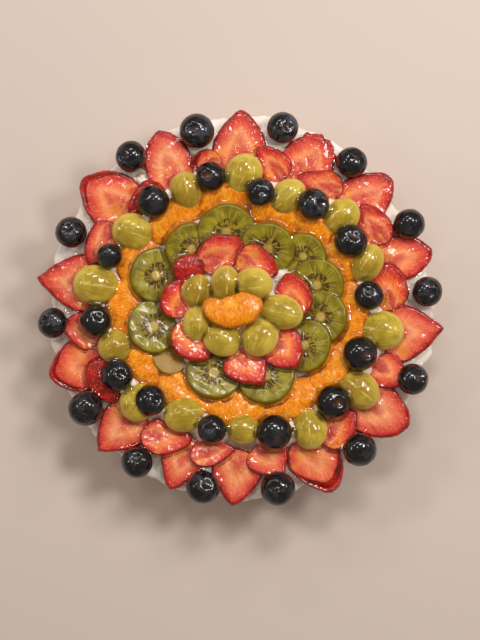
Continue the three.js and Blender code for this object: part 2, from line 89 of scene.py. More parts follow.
class Wire:
    """A socket of a material's nodes that can stand in an expression."""

    def __init__(self, paint: "Paint", socket: bpy.types.NodeSocket) -> None:
        """Keeps the socket and the paint that it belongs to."""
        self.paint = paint
        self.socket = socket

    def calculate(self, operation: str, *values: "Wire | float") -> "Wire":
        """Adds one Math node.

        Args:
            operation: The Math node's operation.
            values: Its inputs in order.

        Returns:
            The result.
        """
        return self.paint.add("ShaderNodeMath", {"operation": operation}, dict(enumerate(values)))

    def __add__(self, other: "Wire | float") -> "Wire":
        """Sum."""
        return self.calculate("ADD", self, other)

    def __radd__(self, other: float) -> "Wire":
        """Sum, number first."""
        return self.calculate("ADD", other, self)

    def __sub__(self, other: "Wire | float") -> "Wire":
        """Difference."""
        return self.calculate("SUBTRACT", self, other)

    def __rsub__(self, other: float) -> "Wire":
        """Difference, number first."""
        return self.calculate("SUBTRACT", other, self)

    def __mul__(self, other: "Wire | float") -> "Wire":
        """Product."""
        return self.calculate("MULTIPLY", self, other)

    def __rmul__(self, other: float) -> "Wire":
        """Product, number first."""
        return self.calculate("MULTIPLY", other, self)

    def __abs__(self) -> "Wire":
        """Size without sign."""
        return self.calculate("ABSOLUTE", self)

    def least(self, other: "Wire | float") -> "Wire":
        """The smaller of two values."""
        return self.calculate("MINIMUM", self, other)

    def rise(self, low: float, high: float) -> "Wire":
        """Gives a smooth step from 0 to 1.

        Args:
            low: The value where the step starts.
            high: The value where it ends, which may be the lower one for a fall.

        Returns:
            The step.
        """
        if low > high:
            return 1 - self.rise(high, low)
        return self.paint.add(
            "ShaderNodeMapRange",
            {"interpolation_type": "SMOOTHSTEP"},
            {"Value": self, "From Min": low, "From Max": high},
        )


class Paint:
    """The nodes of one material."""

    # The sockets of a Mix node that blends colours.
    FACTOR, FIRST, SECOND, BLEND = 0, 6, 7, 2

    def __init__(self, name: str) -> None:
        """Starts an empty material.

        Args:
            name: The material's name.
        """
        self.material = bpy.data.materials.new(name)
        self.material.use_nodes = True
        self.tree = self.material.node_tree
        self.tree.nodes.clear()

    def add(
        self,
        kind: str,
        settings: dict[str, Any] | None = None,
        sockets: dict[str | int, Any] | None = None,
        output: str | int = 0,
    ) -> Wire:
        """Adds any node.

        Args:
            kind: The node's type.
            settings: Its settings, where stops holds the places and colours of a ramp.
            sockets: The value or the wire of each input.
            output: The output that is wanted.

        Returns:
            That output.
        """
        node = self.tree.nodes.new(kind)
        for name, value in (settings or {}).items():
            if name == "stops":
                self._set_stops(node.color_ramp, value)
            else:
                setattr(node, name, value)
        for name, value in (sockets or {}).items():
            if isinstance(value, Wire):
                self.tree.links.new(value.socket, node.inputs[name])
            else:
                node.inputs[name].default_value = value
        return Wire(self, node.outputs[output]) if len(node.outputs) else Wire(self, node.inputs[0])

    @staticmethod
    def _set_stops(ramp: bpy.types.ColorRamp, stops: Sequence[tuple[float, Colour]]) -> None:
        """Sets the stops of a ramp.

        Args:
            ramp: The ramp.
            stops: The place and the colour of each stop.
        """
        while len(ramp.elements) < len(stops):
            ramp.elements.new(1.0)
        for element, (place, colour) in zip(ramp.elements, stops):
            element.position = place
            element.color = colour

    def mark(self, name: str) -> Wire:
        """A number that the mesh carries."""
        return self.add("ShaderNodeAttribute", {"attribute_name": name}, output="Fac")

    def mark_vector(self, name: str) -> Wire:
        """A vector that the mesh carries."""
        return self.add("ShaderNodeAttribute", {"attribute_name": name}, output="Vector")

    def place(self) -> Wire:
        """The point itself, in metres."""
        return self.add("ShaderNodeTexCoord", output="Object")

    def stretch(self, vector: Wire, by: Triple) -> Wire:
        """A vector times another."""
        return self.add("ShaderNodeVectorMath", {"operation": "MULTIPLY"}, {0: vector, 1: by})

    def shift(self, vector: Wire, by: Wire) -> Wire:
        """A vector plus another."""
        return self.add("ShaderNodeVectorMath", {"operation": "ADD"}, {0: vector, 1: by})

    def noise(self, vector: Wire, scale: float, detail: float, warp: float = 0.0) -> Wire:
        """Gives cloudy noise.

        Args:
            vector: Where it is read.
            scale: How fine it is.
            detail: How many finer layers it has.
            warp: How far it is swirled.

        Returns:
            Values round a half.
        """
        sockets = {"Vector": vector, "Scale": scale, "Detail": detail, "Distortion": warp}
        return self.add("ShaderNodeTexNoise", {}, sockets, "Fac")

    def cells(self, vector: Wire, scale: float, uneven: float = 1.0) -> Wire:
        """Gives the distance to the nearest of scattered points.

        Args:
            vector: Where it is read.
            scale: How close the points are.
            uneven: How irregular the points are.

        Returns:
            The distance.
        """
        sockets = {"Vector": vector, "Scale": scale, "Randomness": uneven}
        return self.add("ShaderNodeTexVoronoi", {}, sockets, "Distance")

    def mix(self, factor: "Wire | float", first: "Wire | Colour", second: "Wire | Colour") -> Wire:
        """Blends two colours.

        Args:
            factor: How much of the second.
            first: One colour.
            second: The other.

        Returns:
            The blend.
        """
        sockets = {self.FACTOR: factor, self.FIRST: first, self.SECOND: second}
        return self.add("ShaderNodeMix", {"data_type": "RGBA"}, sockets, self.BLEND)

    def ramp(self, value: Wire, stops: Sequence[tuple[float, Colour]]) -> Wire:
        """A colour for each value."""
        return self.add("ShaderNodeValToRGB", {"stops": stops}, {"Fac": value}, "Color")

    def bump(self, height: Wire, depth_mm: float, strength: float) -> Wire:
        """Gives a normal from a relief.

        Args:
            height: The relief from 0 to 1.
            depth_mm: How deep it is.
            strength: How much of it shows.

        Returns:
            The normal.
        """
        sockets = {"Height": height, "Distance": depth_mm * MM, "Strength": strength}
        return self.add("ShaderNodeBump", {}, sockets, "Normal")

    def skin(self, **sockets: Any) -> Wire:
        """Adds the main shader, its sockets named with spaces as lower lines."""
        named = {name.replace("_", " "): value for name, value in sockets.items()}
        return self.add("ShaderNodeBsdfPrincipled", {}, named, "BSDF")

    def finish(self, shader: Wire) -> bpy.types.Material:
        """Ends the material with its shader."""
        self.add("ShaderNodeOutputMaterial", {}, {"Surface": shader})
        return self.material


@dataclass(frozen=True)
class Sheen:
    """How light meets a finish: its own shine, a wet coat over it, and how deep light soaks in."""

    shine: float = 0.5
    coat: float = 0.0
    coat_roughness: float = 0.03
    coat_refraction: float = 1.5
    soak: float = 0.0
    soak_reach: Triple = (1.0, 0.2, 0.1)
    soak_depth: float = 2.0

    def sockets(self) -> dict[str, Any]:
        """Gives the values of the main shader's sockets.

        Returns:
            The values, each under its socket's name.
        """
        return {
            "Specular_IOR_Level": self.shine,
            "Subsurface_Weight": self.soak,
            "Subsurface_Radius": self.soak_reach,
            "Subsurface_Scale": self.soak_depth * MM,
            "Coat_Weight": self.coat,
            "Coat_Roughness": self.coat_roughness,
            "Coat_IOR": self.coat_refraction,
        }


class Random:
    """Repeatable random numbers from 0 to 1, the same row as the solids use."""

    FACTOR = 1664525
    STEP = 1013904223
    RANGE = 4294967296

    def __init__(self, seed: int) -> None:
        """Starts the row."""
        self.state = seed

    def next(self) -> float:
        """The next number."""
        self.state = (self.state * self.FACTOR + self.STEP) % self.RANGE
        return self.state / self.RANGE


@dataclass(frozen=True)
class Ripple:
    """Smooth unevenness in space, a sum of waves that run every way."""

    seed: int
    wave_mm: float
    depth_mm: float
    waves: int = 12
    spread: tuple[float, float] = (0.7, 1.5)
    calm: float = 1.6

    def at(self, points: np.ndarray) -> np.ndarray:
        """Reads the unevenness.

        Args:
            points: Points in mm, with three numbers last.

        Returns:
            Values mostly from the depth below 0 to the depth above it.
        """
        chance = np.random.default_rng(self.seed)
        total = np.zeros(points.shape[:-1])
        for _ in range(self.waves):
            way = chance.normal(size=3)
            way /= np.linalg.norm(way)
            length = self.wave_mm * chance.uniform(*self.spread)
            total += np.sin(points @ way * FULL_TURN / length + chance.uniform(0, FULL_TURN))
        return total * math.sqrt(2 / self.waves) / self.calm * self.depth_mm


@dataclass
class Skin:
    """A closed skin of rings, the lowest or first one first, in mm, with marks for its paint."""

    rings: np.ndarray
    marks: dict[str, np.ndarray] = field(default_factory=dict)

    def closed(self, values: np.ndarray) -> np.ndarray:
        """Puts the values of all ring points in one row.

        Args:
            values: A value for each point of each ring.

        Returns:
            The row, with the means of the first and the last ring at its end.
        """
        flat = values.reshape(-1, *values.shape[2:])
        ends = np.stack([values[0].mean(0), values[-1].mean(0)])
        return np.concatenate([flat, ends])

    def faces(self) -> list[list[int]]:
        """Gives the faces between the rings and over both ends.

        Returns:
            The numbers of each face's points.
        """
        levels, sides = self.rings.shape[:2]
        side = np.arange(sides)
        following = (side + 1) % sides
        low = np.arange(levels - 1)[:, None] * sides
        high = low + sides
        quads = np.stack([low + side, low + following, high + following, high + side], -1)
        last = (levels - 1) * sides
        foot = np.stack([np.full(sides, levels * sides), following, side], -1)
        head = np.stack([np.full(sides, levels * sides + 1), last + side, last + following], -1)
        return quads.reshape(-1, 4).tolist() + foot.tolist() + head.tolist()

    def build(self, name: str, material: bpy.types.Material) -> bpy.types.Object:
        """Makes the piece.

        Args:
            name: The piece's name.
            material: What it is made of.

        Returns:
            The object.
        """
        mesh = bpy.data.meshes.new(name)
        mesh.from_pydata((self.closed(self.rings) * MM).tolist(), [], self.faces())
        mesh.shade_smooth()
        for mark, values in self.marks.items():
            filled = np.broadcast_to(values, self.rings.shape[:2] + values.shape[2:])
            flat = self.closed(filled)
            if flat.ndim == 1:
                mesh.attributes.new(mark, "FLOAT", "POINT").data.foreach_set("value", flat)
            else:
                mesh.attributes.new(mark, "FLOAT_VECTOR", "POINT").data.foreach_set("vector", flat.ravel())
        mesh.materials.append(material)
        piece = bpy.data.objects.new(name, mesh)
        bpy.context.scene.collection.objects.link(piece)
        return piece


@dataclass(frozen=True)
class Place:
    """Where a piece lies: angle and turn in degrees, reach in steps, height in mm over the cream."""

    angle: float
    reach: float
    height: float
    turn: float = 0.0
    tilt: float = 0.0
    roll: float = 0.0

    def set(self, points: np.ndarray) -> np.ndarray:
        """Moves points from the middle out to their place.

        Args:
            points: Points in mm, with three numbers last.

        Returns:
            The moved points.
        """
        moved = turned(points, 0, self.roll)
        moved = turned(moved, 2, self.turn)
        moved = turned(moved, 1, -self.tilt)
        moved = moved + np.array([self.reach * STEP_MM, 0, CREAM_TOP + self.height])
        return turned(moved, 2, self.angle)


def turned(points: np.ndarray, axis: int, degrees: float) -> np.ndarray:
    """Turns points about an axis.

    Args:
        points: Points with three numbers last.
        axis: 0, 1 or 2 for x, y or z.
        degrees: The angle, counter-clockwise seen from the axis's head.

    Returns:
        The turned points.
    """
    first, second = [(1, 2), (2, 0), (0, 1)][axis]
    cosine, sine = math.cos(math.radians(degrees)), math.sin(math.radians(degrees))
    result = np.array(points, dtype=float)
    result[..., first] = points[..., first] * cosine - points[..., second] * sine
    result[..., second] = points[..., first] * sine + points[..., second] * cosine
    return result


def around(sides: int) -> np.ndarray:
    """Angles of a full turn."""
    return np.arange(sides) * FULL_TURN / sides


def outward(points: np.ndarray) -> np.ndarray:
    """The level direction away from the tart's axis at each point."""
    return points * np.array([1, 1, 0]) / np.linalg.norm(points[..., :2], axis=-1)[..., None]


def bell(values: np.ndarray, middle: float | np.ndarray, width: float) -> np.ndarray:
    """A soft hump, 1 at the middle and nearly 0 two widths away."""
    return np.exp(-(((values - middle) / width) ** 2))


def slice_rings(edge: Sequence[tuple[float, float]], inner: np.ndarray) -> tuple[np.ndarray, np.ndarray]:
    """Gives the rings of a slice, from its underside round its edge to the middle of its face.

    Args:
        edge: How far out and how high each ring of the edge lies.
        inner: How far out each ring of the face lies, 1 at the end of the edge.

    Returns:
        How far out each ring lies and how high, in thicknesses from the slice's middle.
    """
    out = np.concatenate([[ring[0] for ring in edge], edge[-1][0] * inner])
    up = np.concatenate([[ring[1] for ring in edge], np.full(len(inner), 0.5)])
    return out, up


def upper(up: np.ndarray) -> np.ndarray:
    """How much the rings of a slice belong to its face, from 0 at the edge's middle to 1."""
    return np.clip((up[:, None] - 0.1) / 0.4, 0, 1)


def dress(piece: bpy.types.Object, slot: str, *nodes: str) -> bpy.types.Object:
    """Fixes a finished piece to the frame.

    Args:
        piece: The piece.
        slot: Not used.
        nodes: The solids that it stands for.

    Returns:
        The piece.
    """
    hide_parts(*nodes)
    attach(piece, "root")
    LOG.info("made %s", piece.name)
    return piece


@dataclass(frozen=True)
class StrawberryFinish:
    """Cut strawberry: a thin red skin with pips, pale flesh with fibres and a red core."""

    skin_dark: Colour = srgb(134, 8, 8)
    skin_light: Colour = srgb(192, 26, 18)
    pip: Colour = srgb(196, 116, 56)
    fibre: Colour = srgb(255, 206, 150)
    painted_glint: Colour = srgb(255, 226, 196)
    # Pale colour of the painted glints: specks on the cut face that stand in for the wet glaze's sparkle.
    amber: Colour = srgb(244, 156, 38)
    pale_heart: Colour = srgb(222, 62, 62)
    deep_heart: Colour = srgb(198, 20, 32)
    pale: tuple[tuple[float, Colour], ...] = (
        (0.0, srgb(168, 34, 28)),
        (0.05, srgb(204, 52, 42)),
        (0.18, srgb(232, 94, 66)),
        (0.46, srgb(248, 152, 106)),
        (1.0, srgb(248, 148, 98)),
    )
    deep: tuple[tuple[float, Colour], ...] = (
        (0.0, srgb(142, 14, 14)),
        (0.06, srgb(188, 22, 18)),
        (0.22, srgb(220, 48, 26)),
        (0.5, srgb(250, 118, 42)),
        (1.0, srgb(236, 82, 28)),
    )
    sheen: Sheen = Sheen(0.2, 0.7, 0.05, 1.5, 0.12, (1.0, 0.3, 0.15))
    cloud_scale: float = 240.0
    grain_scale: float = 1400.0
    pool_scale: float = 130.0
    pip_scale: float = 500.0
    pip_uneven: float = 0.75
    fibre_stretch: Triple = (23.0, 23.0, 2.6)

    def flesh(self, paint: Paint, cloud: Wire, fibre: Wire, grain: Wire) -> Wire:
        """Gives the colour of the cut face, from the skin in to the heart.

        Args:
            paint: The material's nodes.
            cloud: Soft patches.
            fibre: The pale fibres that run to the heart.
            grain: Fine specks.

        Returns:
            The colour.
        """
        inset = paint.mark("inset")
        tone = paint.mark("tone")
        depth = inset + (cloud - 0.5) * 0.16 + (fibre - 0.5) * 0.1
        colour = paint.mix(tone, paint.ramp(depth, self.pale), paint.ramp(depth, self.deep))
        heart = paint.mark("heart") + (cloud - 0.5) * 0.7 + (fibre - 0.5) * 0.2
        pale_ring = heart.rise(-0.5, -0.08) * 0.25
        colour = paint.mix(pale_ring, colour, self.fibre)
        red_heart = heart.rise(-0.2, 0.45) * 0.85
        colour = paint.mix(red_heart, colour, paint.mix(tone, self.pale_heart, self.deep_heart))
        pale_core = heart.rise(0.6, 0.95) * 0.25
        colour = paint.mix(pale_core, colour, self.fibre)
        band = inset.rise(0.06, 0.3)
        pale_fibres = fibre.rise(0.55, 0.72) * band * 0.22
        colour = paint.mix(pale_fibres, colour, self.fibre)
        red_fibres = fibre.rise(0.45, 0.3) * band * 0.2
        colour = paint.mix(red_fibres, colour, self.skin_light)
        near_root = paint.mark("along").rise(0.6, 0.25)
        pooled_juice = paint.noise(paint.place(), self.pool_scale, 2).rise(0.5, 0.64) * near_root * 0.6
        colour = paint.mix(pooled_juice, colour, self.amber)
        # Painted glints: pale specks that stand in for the sparkle of light on the wet glaze.
        painted_glint_specks = grain.rise(0.6, 0.7) * 0.4
        colour = paint.mix(painted_glint_specks, colour, self.painted_glint)
        red_specks = grain.rise(0.4, 0.3) * 0.22
        return paint.mix(red_specks, colour, self.skin_light)

    def material(self) -> bpy.types.Material:
        """Builds the material.

        Returns:
            The material.
        """
        paint = Paint("strawberry")
        place = paint.place()
        outside = paint.mark("outside")
        cloud = paint.noise(place, self.cloud_scale, 3)
        fibre = paint.noise(paint.stretch(paint.mark_vector("spoke"), self.fibre_stretch), 1.0, 2)
        grain = paint.noise(place, self.grain_scale, 2)
        pips = paint.cells(place, self.pip_scale, self.pip_uneven)
        skin = paint.mix(cloud.rise(0.35, 0.65), self.skin_dark, self.skin_light)
        skin = paint.mix(pips.rise(0.24, 0.16) * 0.7, skin, self.pip)
        pitted = outside * pips.rise(0.1, 0.5)
        uneven = (1 - outside) * (fibre * 0.4 + grain * 0.9 + cloud * 0.7)
        return paint.finish(
            paint.skin(
                Base_Color=paint.mix(outside, self.flesh(paint, cloud, fibre, grain), skin),
                Roughness=0.22 + grain * 0.16,
                Normal=paint.bump(pitted + uneven, 0.6, 0.7),
                **self.sheen.sockets(),
            )
        )


@dataclass(frozen=True)
class BlueberryFinish:
    """Blueberry: nearly black under the glaze, with blue-grey bloom and a brown scar."""

    dark: Colour = srgb(8, 5, 6)
    blue: Colour = srgb(16, 14, 20)
    bloom: Colour = srgb(78, 80, 92)
    scar: Colour = srgb(104, 60, 38)
    sheen: Sheen = Sheen(0.1, 1.0, 0.02, 1.5)
    cloud_scale: float = 170.0
    fine_scale: float = 900.0
    swirl: float = 0.6

    def material(self) -> bpy.types.Material:
        """Builds the material.

        Returns:
            The material.
        """
        paint = Paint("blueberry")
        place = paint.place()
        cloud = paint.noise(place, self.cloud_scale, 3, self.swirl)
        fine = paint.noise(place, self.fine_scale, 2)
        dusty = paint.mark("bloom") * (cloud * 0.8 + fine * 0.4).rise(0.55, 0.75)
        scarred = paint.mark("scar") * (0.55 + fine * 0.5)
        colour = paint.mix(cloud.rise(0.4, 0.7), self.dark, self.blue)
        colour = paint.mix(dusty, colour, self.bloom)
        colour = paint.mix(scarred, colour, self.scar)
        return paint.finish(
            paint.skin(
                Base_Color=colour,
                Roughness=0.4 + dusty * 0.2,
                Normal=paint.bump(cloud * 0.9 + fine * 0.12, 0.6, 0.6),
                **self.sheen.sockets(),
            )
        )


@dataclass(frozen=True)
class GrapeFinish:
    """Green grape: see-through olive skin, faint ribs and one pale line along it, with painted light at its
    thin edges.
    """

    # Light olive, also used for the painted light toward the dome's foot.
    light: Colour = srgb(216, 192, 74)
    middle: Colour = srgb(168, 142, 38)
    brown: Colour = srgb(140, 88, 10)
    # Pale line colour, also used for the painted glow at the thin edges.
    line: Colour = srgb(224, 204, 120)
    dot: Colour = srgb(96, 64, 16)
    sheen: Sheen = Sheen(0.1, 0.9, 0.02, 1.45, 0.25, (1.0, 0.9, 0.2), 3.0)
    cloud_scale: float = 130.0
    fine_scale: float = 420.0
    break_scale: float = 210.0
    dot_scale: float = 150.0
    rib_stretch: Triple = (1.1, 8.0, 1.0)

    def material(self) -> bpy.types.Material:
        """Builds the material.

        Returns:
            The material.
        """
        paint = Paint("grape")
        place = paint.place()
        up = paint.mark("up")
        cloud = paint.noise(place, self.cloud_scale, 3)
        rib = paint.noise(paint.stretch(paint.mark_vector("lengthwise"), self.rib_stretch), 1.0, 2)
        # Clouds and ribs are the grape's own mottling. The up term paints the dome lighter toward its foot:
        # painted light for light shining through the thin edges and for the less lit sloping sides.
        body = cloud * 1.1 + rib * 0.35 - up * 0.45 + 0.07
        colour = paint.mix(body.rise(0.25, 0.75), self.middle, self.light)
        browned = (paint.mark("brown") + up.rise(0.25, 0.0) * 0.15).least(1.0)
        colour = paint.mix(browned, colour, self.brown)
        # Painted glow: a pale band low on the dome that stands in for light shining through the thin edge.
        painted_rim_glow = up.rise(0.6, 0.3) * up.rise(0.05, 0.2) * 0.4
        colour = paint.mix(painted_rim_glow, colour, self.line)
        line = (abs(paint.mark("longitude") + (cloud - 0.5) * 0.2)).rise(0.085, 0.015) * up.rise(0.2, 0.6)
        broken = paint.noise(place, self.break_scale, 1).rise(0.38, 0.6)
        colour = paint.mix(line * broken * 0.7, colour, self.line)
        dots = paint.cells(place, self.dot_scale).rise(0.09, 0.05) * 0.7
        colour = paint.mix(dots, colour, self.dot)
        relief = rib * 0.5 + paint.noise(place, self.fine_scale, 2) * 0.5
        return paint.finish(
            paint.skin(
                Base_Color=colour,
                Roughness=0.2 + cloud * 0.14,
                Normal=paint.bump(relief, 0.4, 0.45),
                **self.sheen.sockets(),
            )
        )


@dataclass(frozen=True)
class MandarinFinish:
    """Mandarin segment: long juice sacs packed side by side under a thin skin, with painted highlights on its
    tops and sacs and painted shade on its low sides.
    """

    bright: Colour = srgb(250, 163, 20)
    orange: Colour = srgb(232, 125, 6)
    # Brown of the sac seams and dull patches, and also the painted shade on the low sides.
    brown: Colour = srgb(178, 82, 2)
    # Pale yellow of the painted highlights on tops and sacs and of the painted glints on the granules.
    pale: Colour = srgb(255, 212, 74)
    sheen: Sheen = Sheen(0.15, 0.45, 0.05, 1.4, 0.15, (1.0, 0.4, 0.08))
    cloud_scale: float = 160.0
    granule_scale: float = 560.0
    patch_scale: float = 240.0
    swirl_scale: float = 0.4
    sac_stretch: Triple = (1.05, 0.42, 0.55)
    fine_stretch: Triple = (2.4, 1.3, 1.5)

    def material(self) -> bpy.types.Material:
        """Builds the material.

        Returns:
            The material.
        """
        paint = Paint("mandarin")
        place = paint.place()
        sacs = paint.mark_vector("sacs")
        low = paint.mark("low")
        warp = paint.add("ShaderNodeTexNoise", {}, {"Vector": sacs, "Scale": self.swirl_scale}, "Color")
        swirl = paint.shift(sacs, warp)
        sac = paint.cells(paint.stretch(swirl, self.sac_stretch), 1.0)
        fine = paint.cells(paint.stretch(swirl, self.fine_stretch), 1.0)
        cloud = paint.noise(place, self.cloud_scale, 3)
        colour = paint.mix(sac.rise(0.15, 0.7), self.bright, self.orange)
        seams = sac.rise(0.62, 0.9) * 0.08
        colour = paint.mix(seams, colour, self.brown)
        # Painted highlight: pale on the high tops of the segments, where light falls.
        painted_top_highlight = cloud.rise(0.5, 0.3) * low.rise(0.6, 0.2) * 0.35
        colour = paint.mix(painted_top_highlight, colour, self.pale)
        dull_patches = cloud.rise(0.5, 0.75) * 0.12
        colour = paint.mix(dull_patches, colour, self.brown)
        # Painted shade: brown on the low sides and ends of each segment, in the creases where segments meet.
        painted_side_shade = (low + (cloud - 0.5) * 0.3).rise(0.35, 0.85) * 0.55
        colour = paint.mix(painted_side_shade, colour, self.brown)
        # Painted highlight: pale on the middles of the sacs, where their bulges catch the light.
        painted_sac_highlights = fine.rise(0.34, 0.14) * sac.rise(0.7, 0.2) * 0.4
        colour = paint.mix(painted_sac_highlights, colour, self.pale)
        # Granules in patches: pale painted glints that stand in for the sparkle of the wet sacs. The same
        # granules also raise the bump.
        patches = paint.noise(place, self.patch_scale, 2).rise(0.4, 0.62)
        granules_with_painted_glint = paint.cells(place, self.granule_scale).rise(0.3, 0.12) * patches
        colour = paint.mix(granules_with_painted_glint * 0.65, colour, self.pale)
        relief = sac.rise(0.8, 0.1) * 0.35 + fine.rise(0.6, 0.1) * 0.4 + granules_with_painted_glint * 0.5 + cloud * 0.5
        return paint.finish(
            paint.skin(
                Base_Color=colour,
                Roughness=0.16 + cloud * 0.12,
                Normal=paint.bump(relief, 0.5, 0.5),
                **self.sheen.sockets(),
            )
        )


@dataclass(frozen=True)
class KiwiFinish:
    """Kiwi slice: pale core, a ring of black seeds, pale rays and a darker green edge."""

    green: Colour = srgb(152, 142, 20)
    dark: Colour = srgb(108, 96, 6)
    ray: Colour = srgb(200, 182, 74)
    core: Colour = srgb(194, 168, 88)
    seed: Colour = srgb(14, 9, 5)
    brown: Colour = srgb(170, 118, 8)
    sheen: Sheen = Sheen(0.35, 0.45, 0.05, 1.4, 0.12, (0.7, 1.0, 0.15))
    cloud_scale: float = 170.0
    fine_scale: float = 1300.0
    ray_stretch: Triple = (15.0, 15.0, 0.8)
    seed_stretch: Triple = (5.6, 5.6, 5.2)
    seed_uneven: float = 0.85

    def material(self) -> bpy.types.Material:
        """Builds the material.

        Returns:
            The material.
        """
        paint = Paint("kiwi")
        place = paint.place()
        spoke = paint.mark_vector("spoke")
        brown = paint.mark("brown")
        cloud = paint.noise(place, self.cloud_scale, 3)
        rays = paint.noise(paint.stretch(spoke, self.ray_stretch), 1.0, 3)
        fine = paint.noise(place, self.fine_scale, 2)
        out = paint.mark("reach") + (cloud - 0.5) * 0.12
        colour = paint.mix(cloud.rise(0.35, 0.7), self.dark, self.green)
        streaks = rays.rise(0.47, 0.63) * out.rise(0.18, 0.3) * out.rise(0.96, 0.6) * 0.5
        colour = paint.mix(streaks, colour, self.ray)
        specks = fine.rise(0.62, 0.74) * 0.35
        colour = paint.mix(specks, colour, self.ray)
        dark_edge = out.rise(0.86, 1.0) * 0.7
        colour = paint.mix(dark_edge, colour, self.dark)
        brown_middle = out.rise(0.5, 0.3) * 0.4
        colour = paint.mix(brown_middle, colour, self.brown)
        pale_core = out.rise(0.19, 0.12) * 0.9
        colour = paint.mix(pale_core, colour, self.core)
        pips = paint.cells(paint.stretch(spoke, self.seed_stretch), 1.0, self.seed_uneven)
        band = out.rise(0.17, 0.22) * out.rise(0.52, 0.44)
        seeds = pips.rise(0.56, 0.46) * band * (1 - brown)
        colour = paint.mix(seeds, colour, self.seed)
        colour = paint.mix(brown * 0.62, colour, self.brown)
        relief = (rays * 0.5 + cloud * 0.3) * (1 - brown * 0.5) + fine * 0.25 + seeds * 0.8
        return paint.finish(
            paint.skin(
                Base_Color=colour,
                Roughness=0.2 + fine * 0.16,
                Normal=paint.bump(relief, 0.5, 0.6),
                **self.sheen.sockets(),
            )
        )


@dataclass(frozen=True)
class CreamFinish:
    """Whipped cream, warm white with soft smears."""

    white: Colour = srgb(255, 244, 235)
    warm: Colour = srgb(248, 230, 214)
    sheen: Sheen = Sheen(soak=0.25, soak_reach=(1.0, 0.8, 0.6), soak_depth=4.0)
    cloud_scale: float = 70.0
    smear_scale: float = 260.0
    fine_scale: float = 1200.0
    smear_stretch: Triple = (1.0, 1.0, 2.4)
    swirl: float = 0.8

    def material(self) -> bpy.types.Material:
        """Builds the material.

        Returns:
            The material.
        """
        paint = Paint("cream")
        place = paint.place()
        cloud = paint.noise(place, self.cloud_scale, 4)
        smear = paint.noise(paint.stretch(place, self.smear_stretch), self.smear_scale, 3, self.swirl)
        fine = paint.noise(place, self.fine_scale, 2)
        return paint.finish(
            paint.skin(
                Base_Color=paint.mix(cloud.rise(0.4, 0.75), self.white, self.warm),
                Roughness=0.42 + fine * 0.2,
                Normal=paint.bump(smear * 0.8 + fine * 0.15, 0.9, 0.5),
                **self.sheen.sockets(),
            )
        )


@dataclass(frozen=True)
class CrustFinish:
    """Baked shortcrust, golden with browner high spots and a sandy crumb."""

    gold: Colour = srgb(214, 160, 92)
    brown: Colour = srgb(160, 100, 48)
    pale: Colour = srgb(232, 192, 132)
    sheen: Sheen = Sheen(soak=0.05, soak_reach=(1.0, 0.6, 0.3))
    cloud_scale: float = 55.0
    crumb_scale: float = 750.0
    pit_scale: float = 420.0

    def material(self) -> bpy.types.Material:
        """Builds the material.

        Returns:
            The material.
        """
        paint = Paint("crust")
        place = paint.place()
        cloud = paint.noise(place, self.cloud_scale, 4)
        crumb = paint.noise(place, self.crumb_scale, 4)
        pits = paint.cells(place, self.pit_scale)
        colour = paint.mix(cloud.rise(0.35, 0.7), self.pale, self.gold)
        high = paint.mark("ridge") * 0.45 + paint.mark("lift") * 0.45
        baked = (high + (cloud - 0.5) * 0.8).rise(0.35, 0.85) * 0.8
        colour = paint.mix(baked, colour, self.brown)
        colour = paint.mix(crumb.rise(0.56, 0.75) * 0.4, colour, self.brown)
        return paint.finish(
            paint.skin(
                Base_Color=colour,
                Roughness=0.72 + crumb * 0.16,
                Normal=paint.bump(crumb * 0.7 + pits.rise(0.0, 0.4) * 0.5, 0.9, 0.7),
                **self.sheen.sockets(),
            )
        )


@dataclass(frozen=True)
class GlazeFinish:
    """Clear set glaze, only just yellow."""

    tint: Colour = (1.0, 0.97, 0.9, 1.0)
    white: Colour = (1.0, 1.0, 1.0, 1.0)
    gloss: float = 0.05
    refraction: float = 1.6
    ripple_scale: float = 260.0

    def material(self) -> bpy.types.Material:
        """Builds the material.

        Returns:
            The material.
        """
        paint = Paint("glaze")
        normal = paint.bump(paint.noise(paint.place(), self.ripple_scale, 2), 0.3, 0.3)
        clear = paint.add("ShaderNodeBsdfTransparent", {}, {"Color": self.tint})
        wet = paint.skin(Base_Color=self.white, Metallic=1.0, Roughness=self.gloss, Normal=normal)
        share = paint.add("ShaderNodeFresnel", {}, {"IOR": self.refraction, "Normal": normal})
        return paint.finish(paint.add("ShaderNodeMixShader", {}, {0: share, 1: clear, 2: wet}))


class Face(Enum):
    """Which side of a strawberry slice lies up."""

    CUT = "cut"
    OUTSIDE = "outside"


@dataclass(frozen=True)
class Slice:
    """A strawberry slice from its root to its tip, each an angle and a reach.

    Blunt 0 is a pointed berry and 1 a round one. Tone 0 is pale and 1 deep red.
    Band is how wide the red outside shows past the tip of the cut face, and ragged how torn the tip is.
    """

    root: tuple[float, float]
    tip: tuple[float, float]
    width: float
    blunt: float
    tone: float = 0.5
    face: Face = Face.CUT
    band: float = 0.0
    ragged: float = 0.0

    def axis(self) -> tuple[float, float, float, float]:
        """Works out how it lies.

        Returns:
            Its length in steps, then the angle, the reach and the turn of its middle.
        """
        root = self._point(self.root)
        tip = self._point(self.tip)
        middle = (root + tip) / 2
        way = tip - root
        angle = math.degrees(math.atan2(middle[1], middle[0]))
        turn = math.degrees(math.atan2(way[1], way[0])) - angle
        return float(np.linalg.norm(way)), angle, float(np.linalg.norm(middle)), turn

    @staticmethod
    def _point(polar: tuple[float, float]) -> np.ndarray:
        """A point from its angle and reach."""
        angle = math.radians(polar[0])
        return np.array([math.cos(angle), math.sin(angle)]) * polar[1]


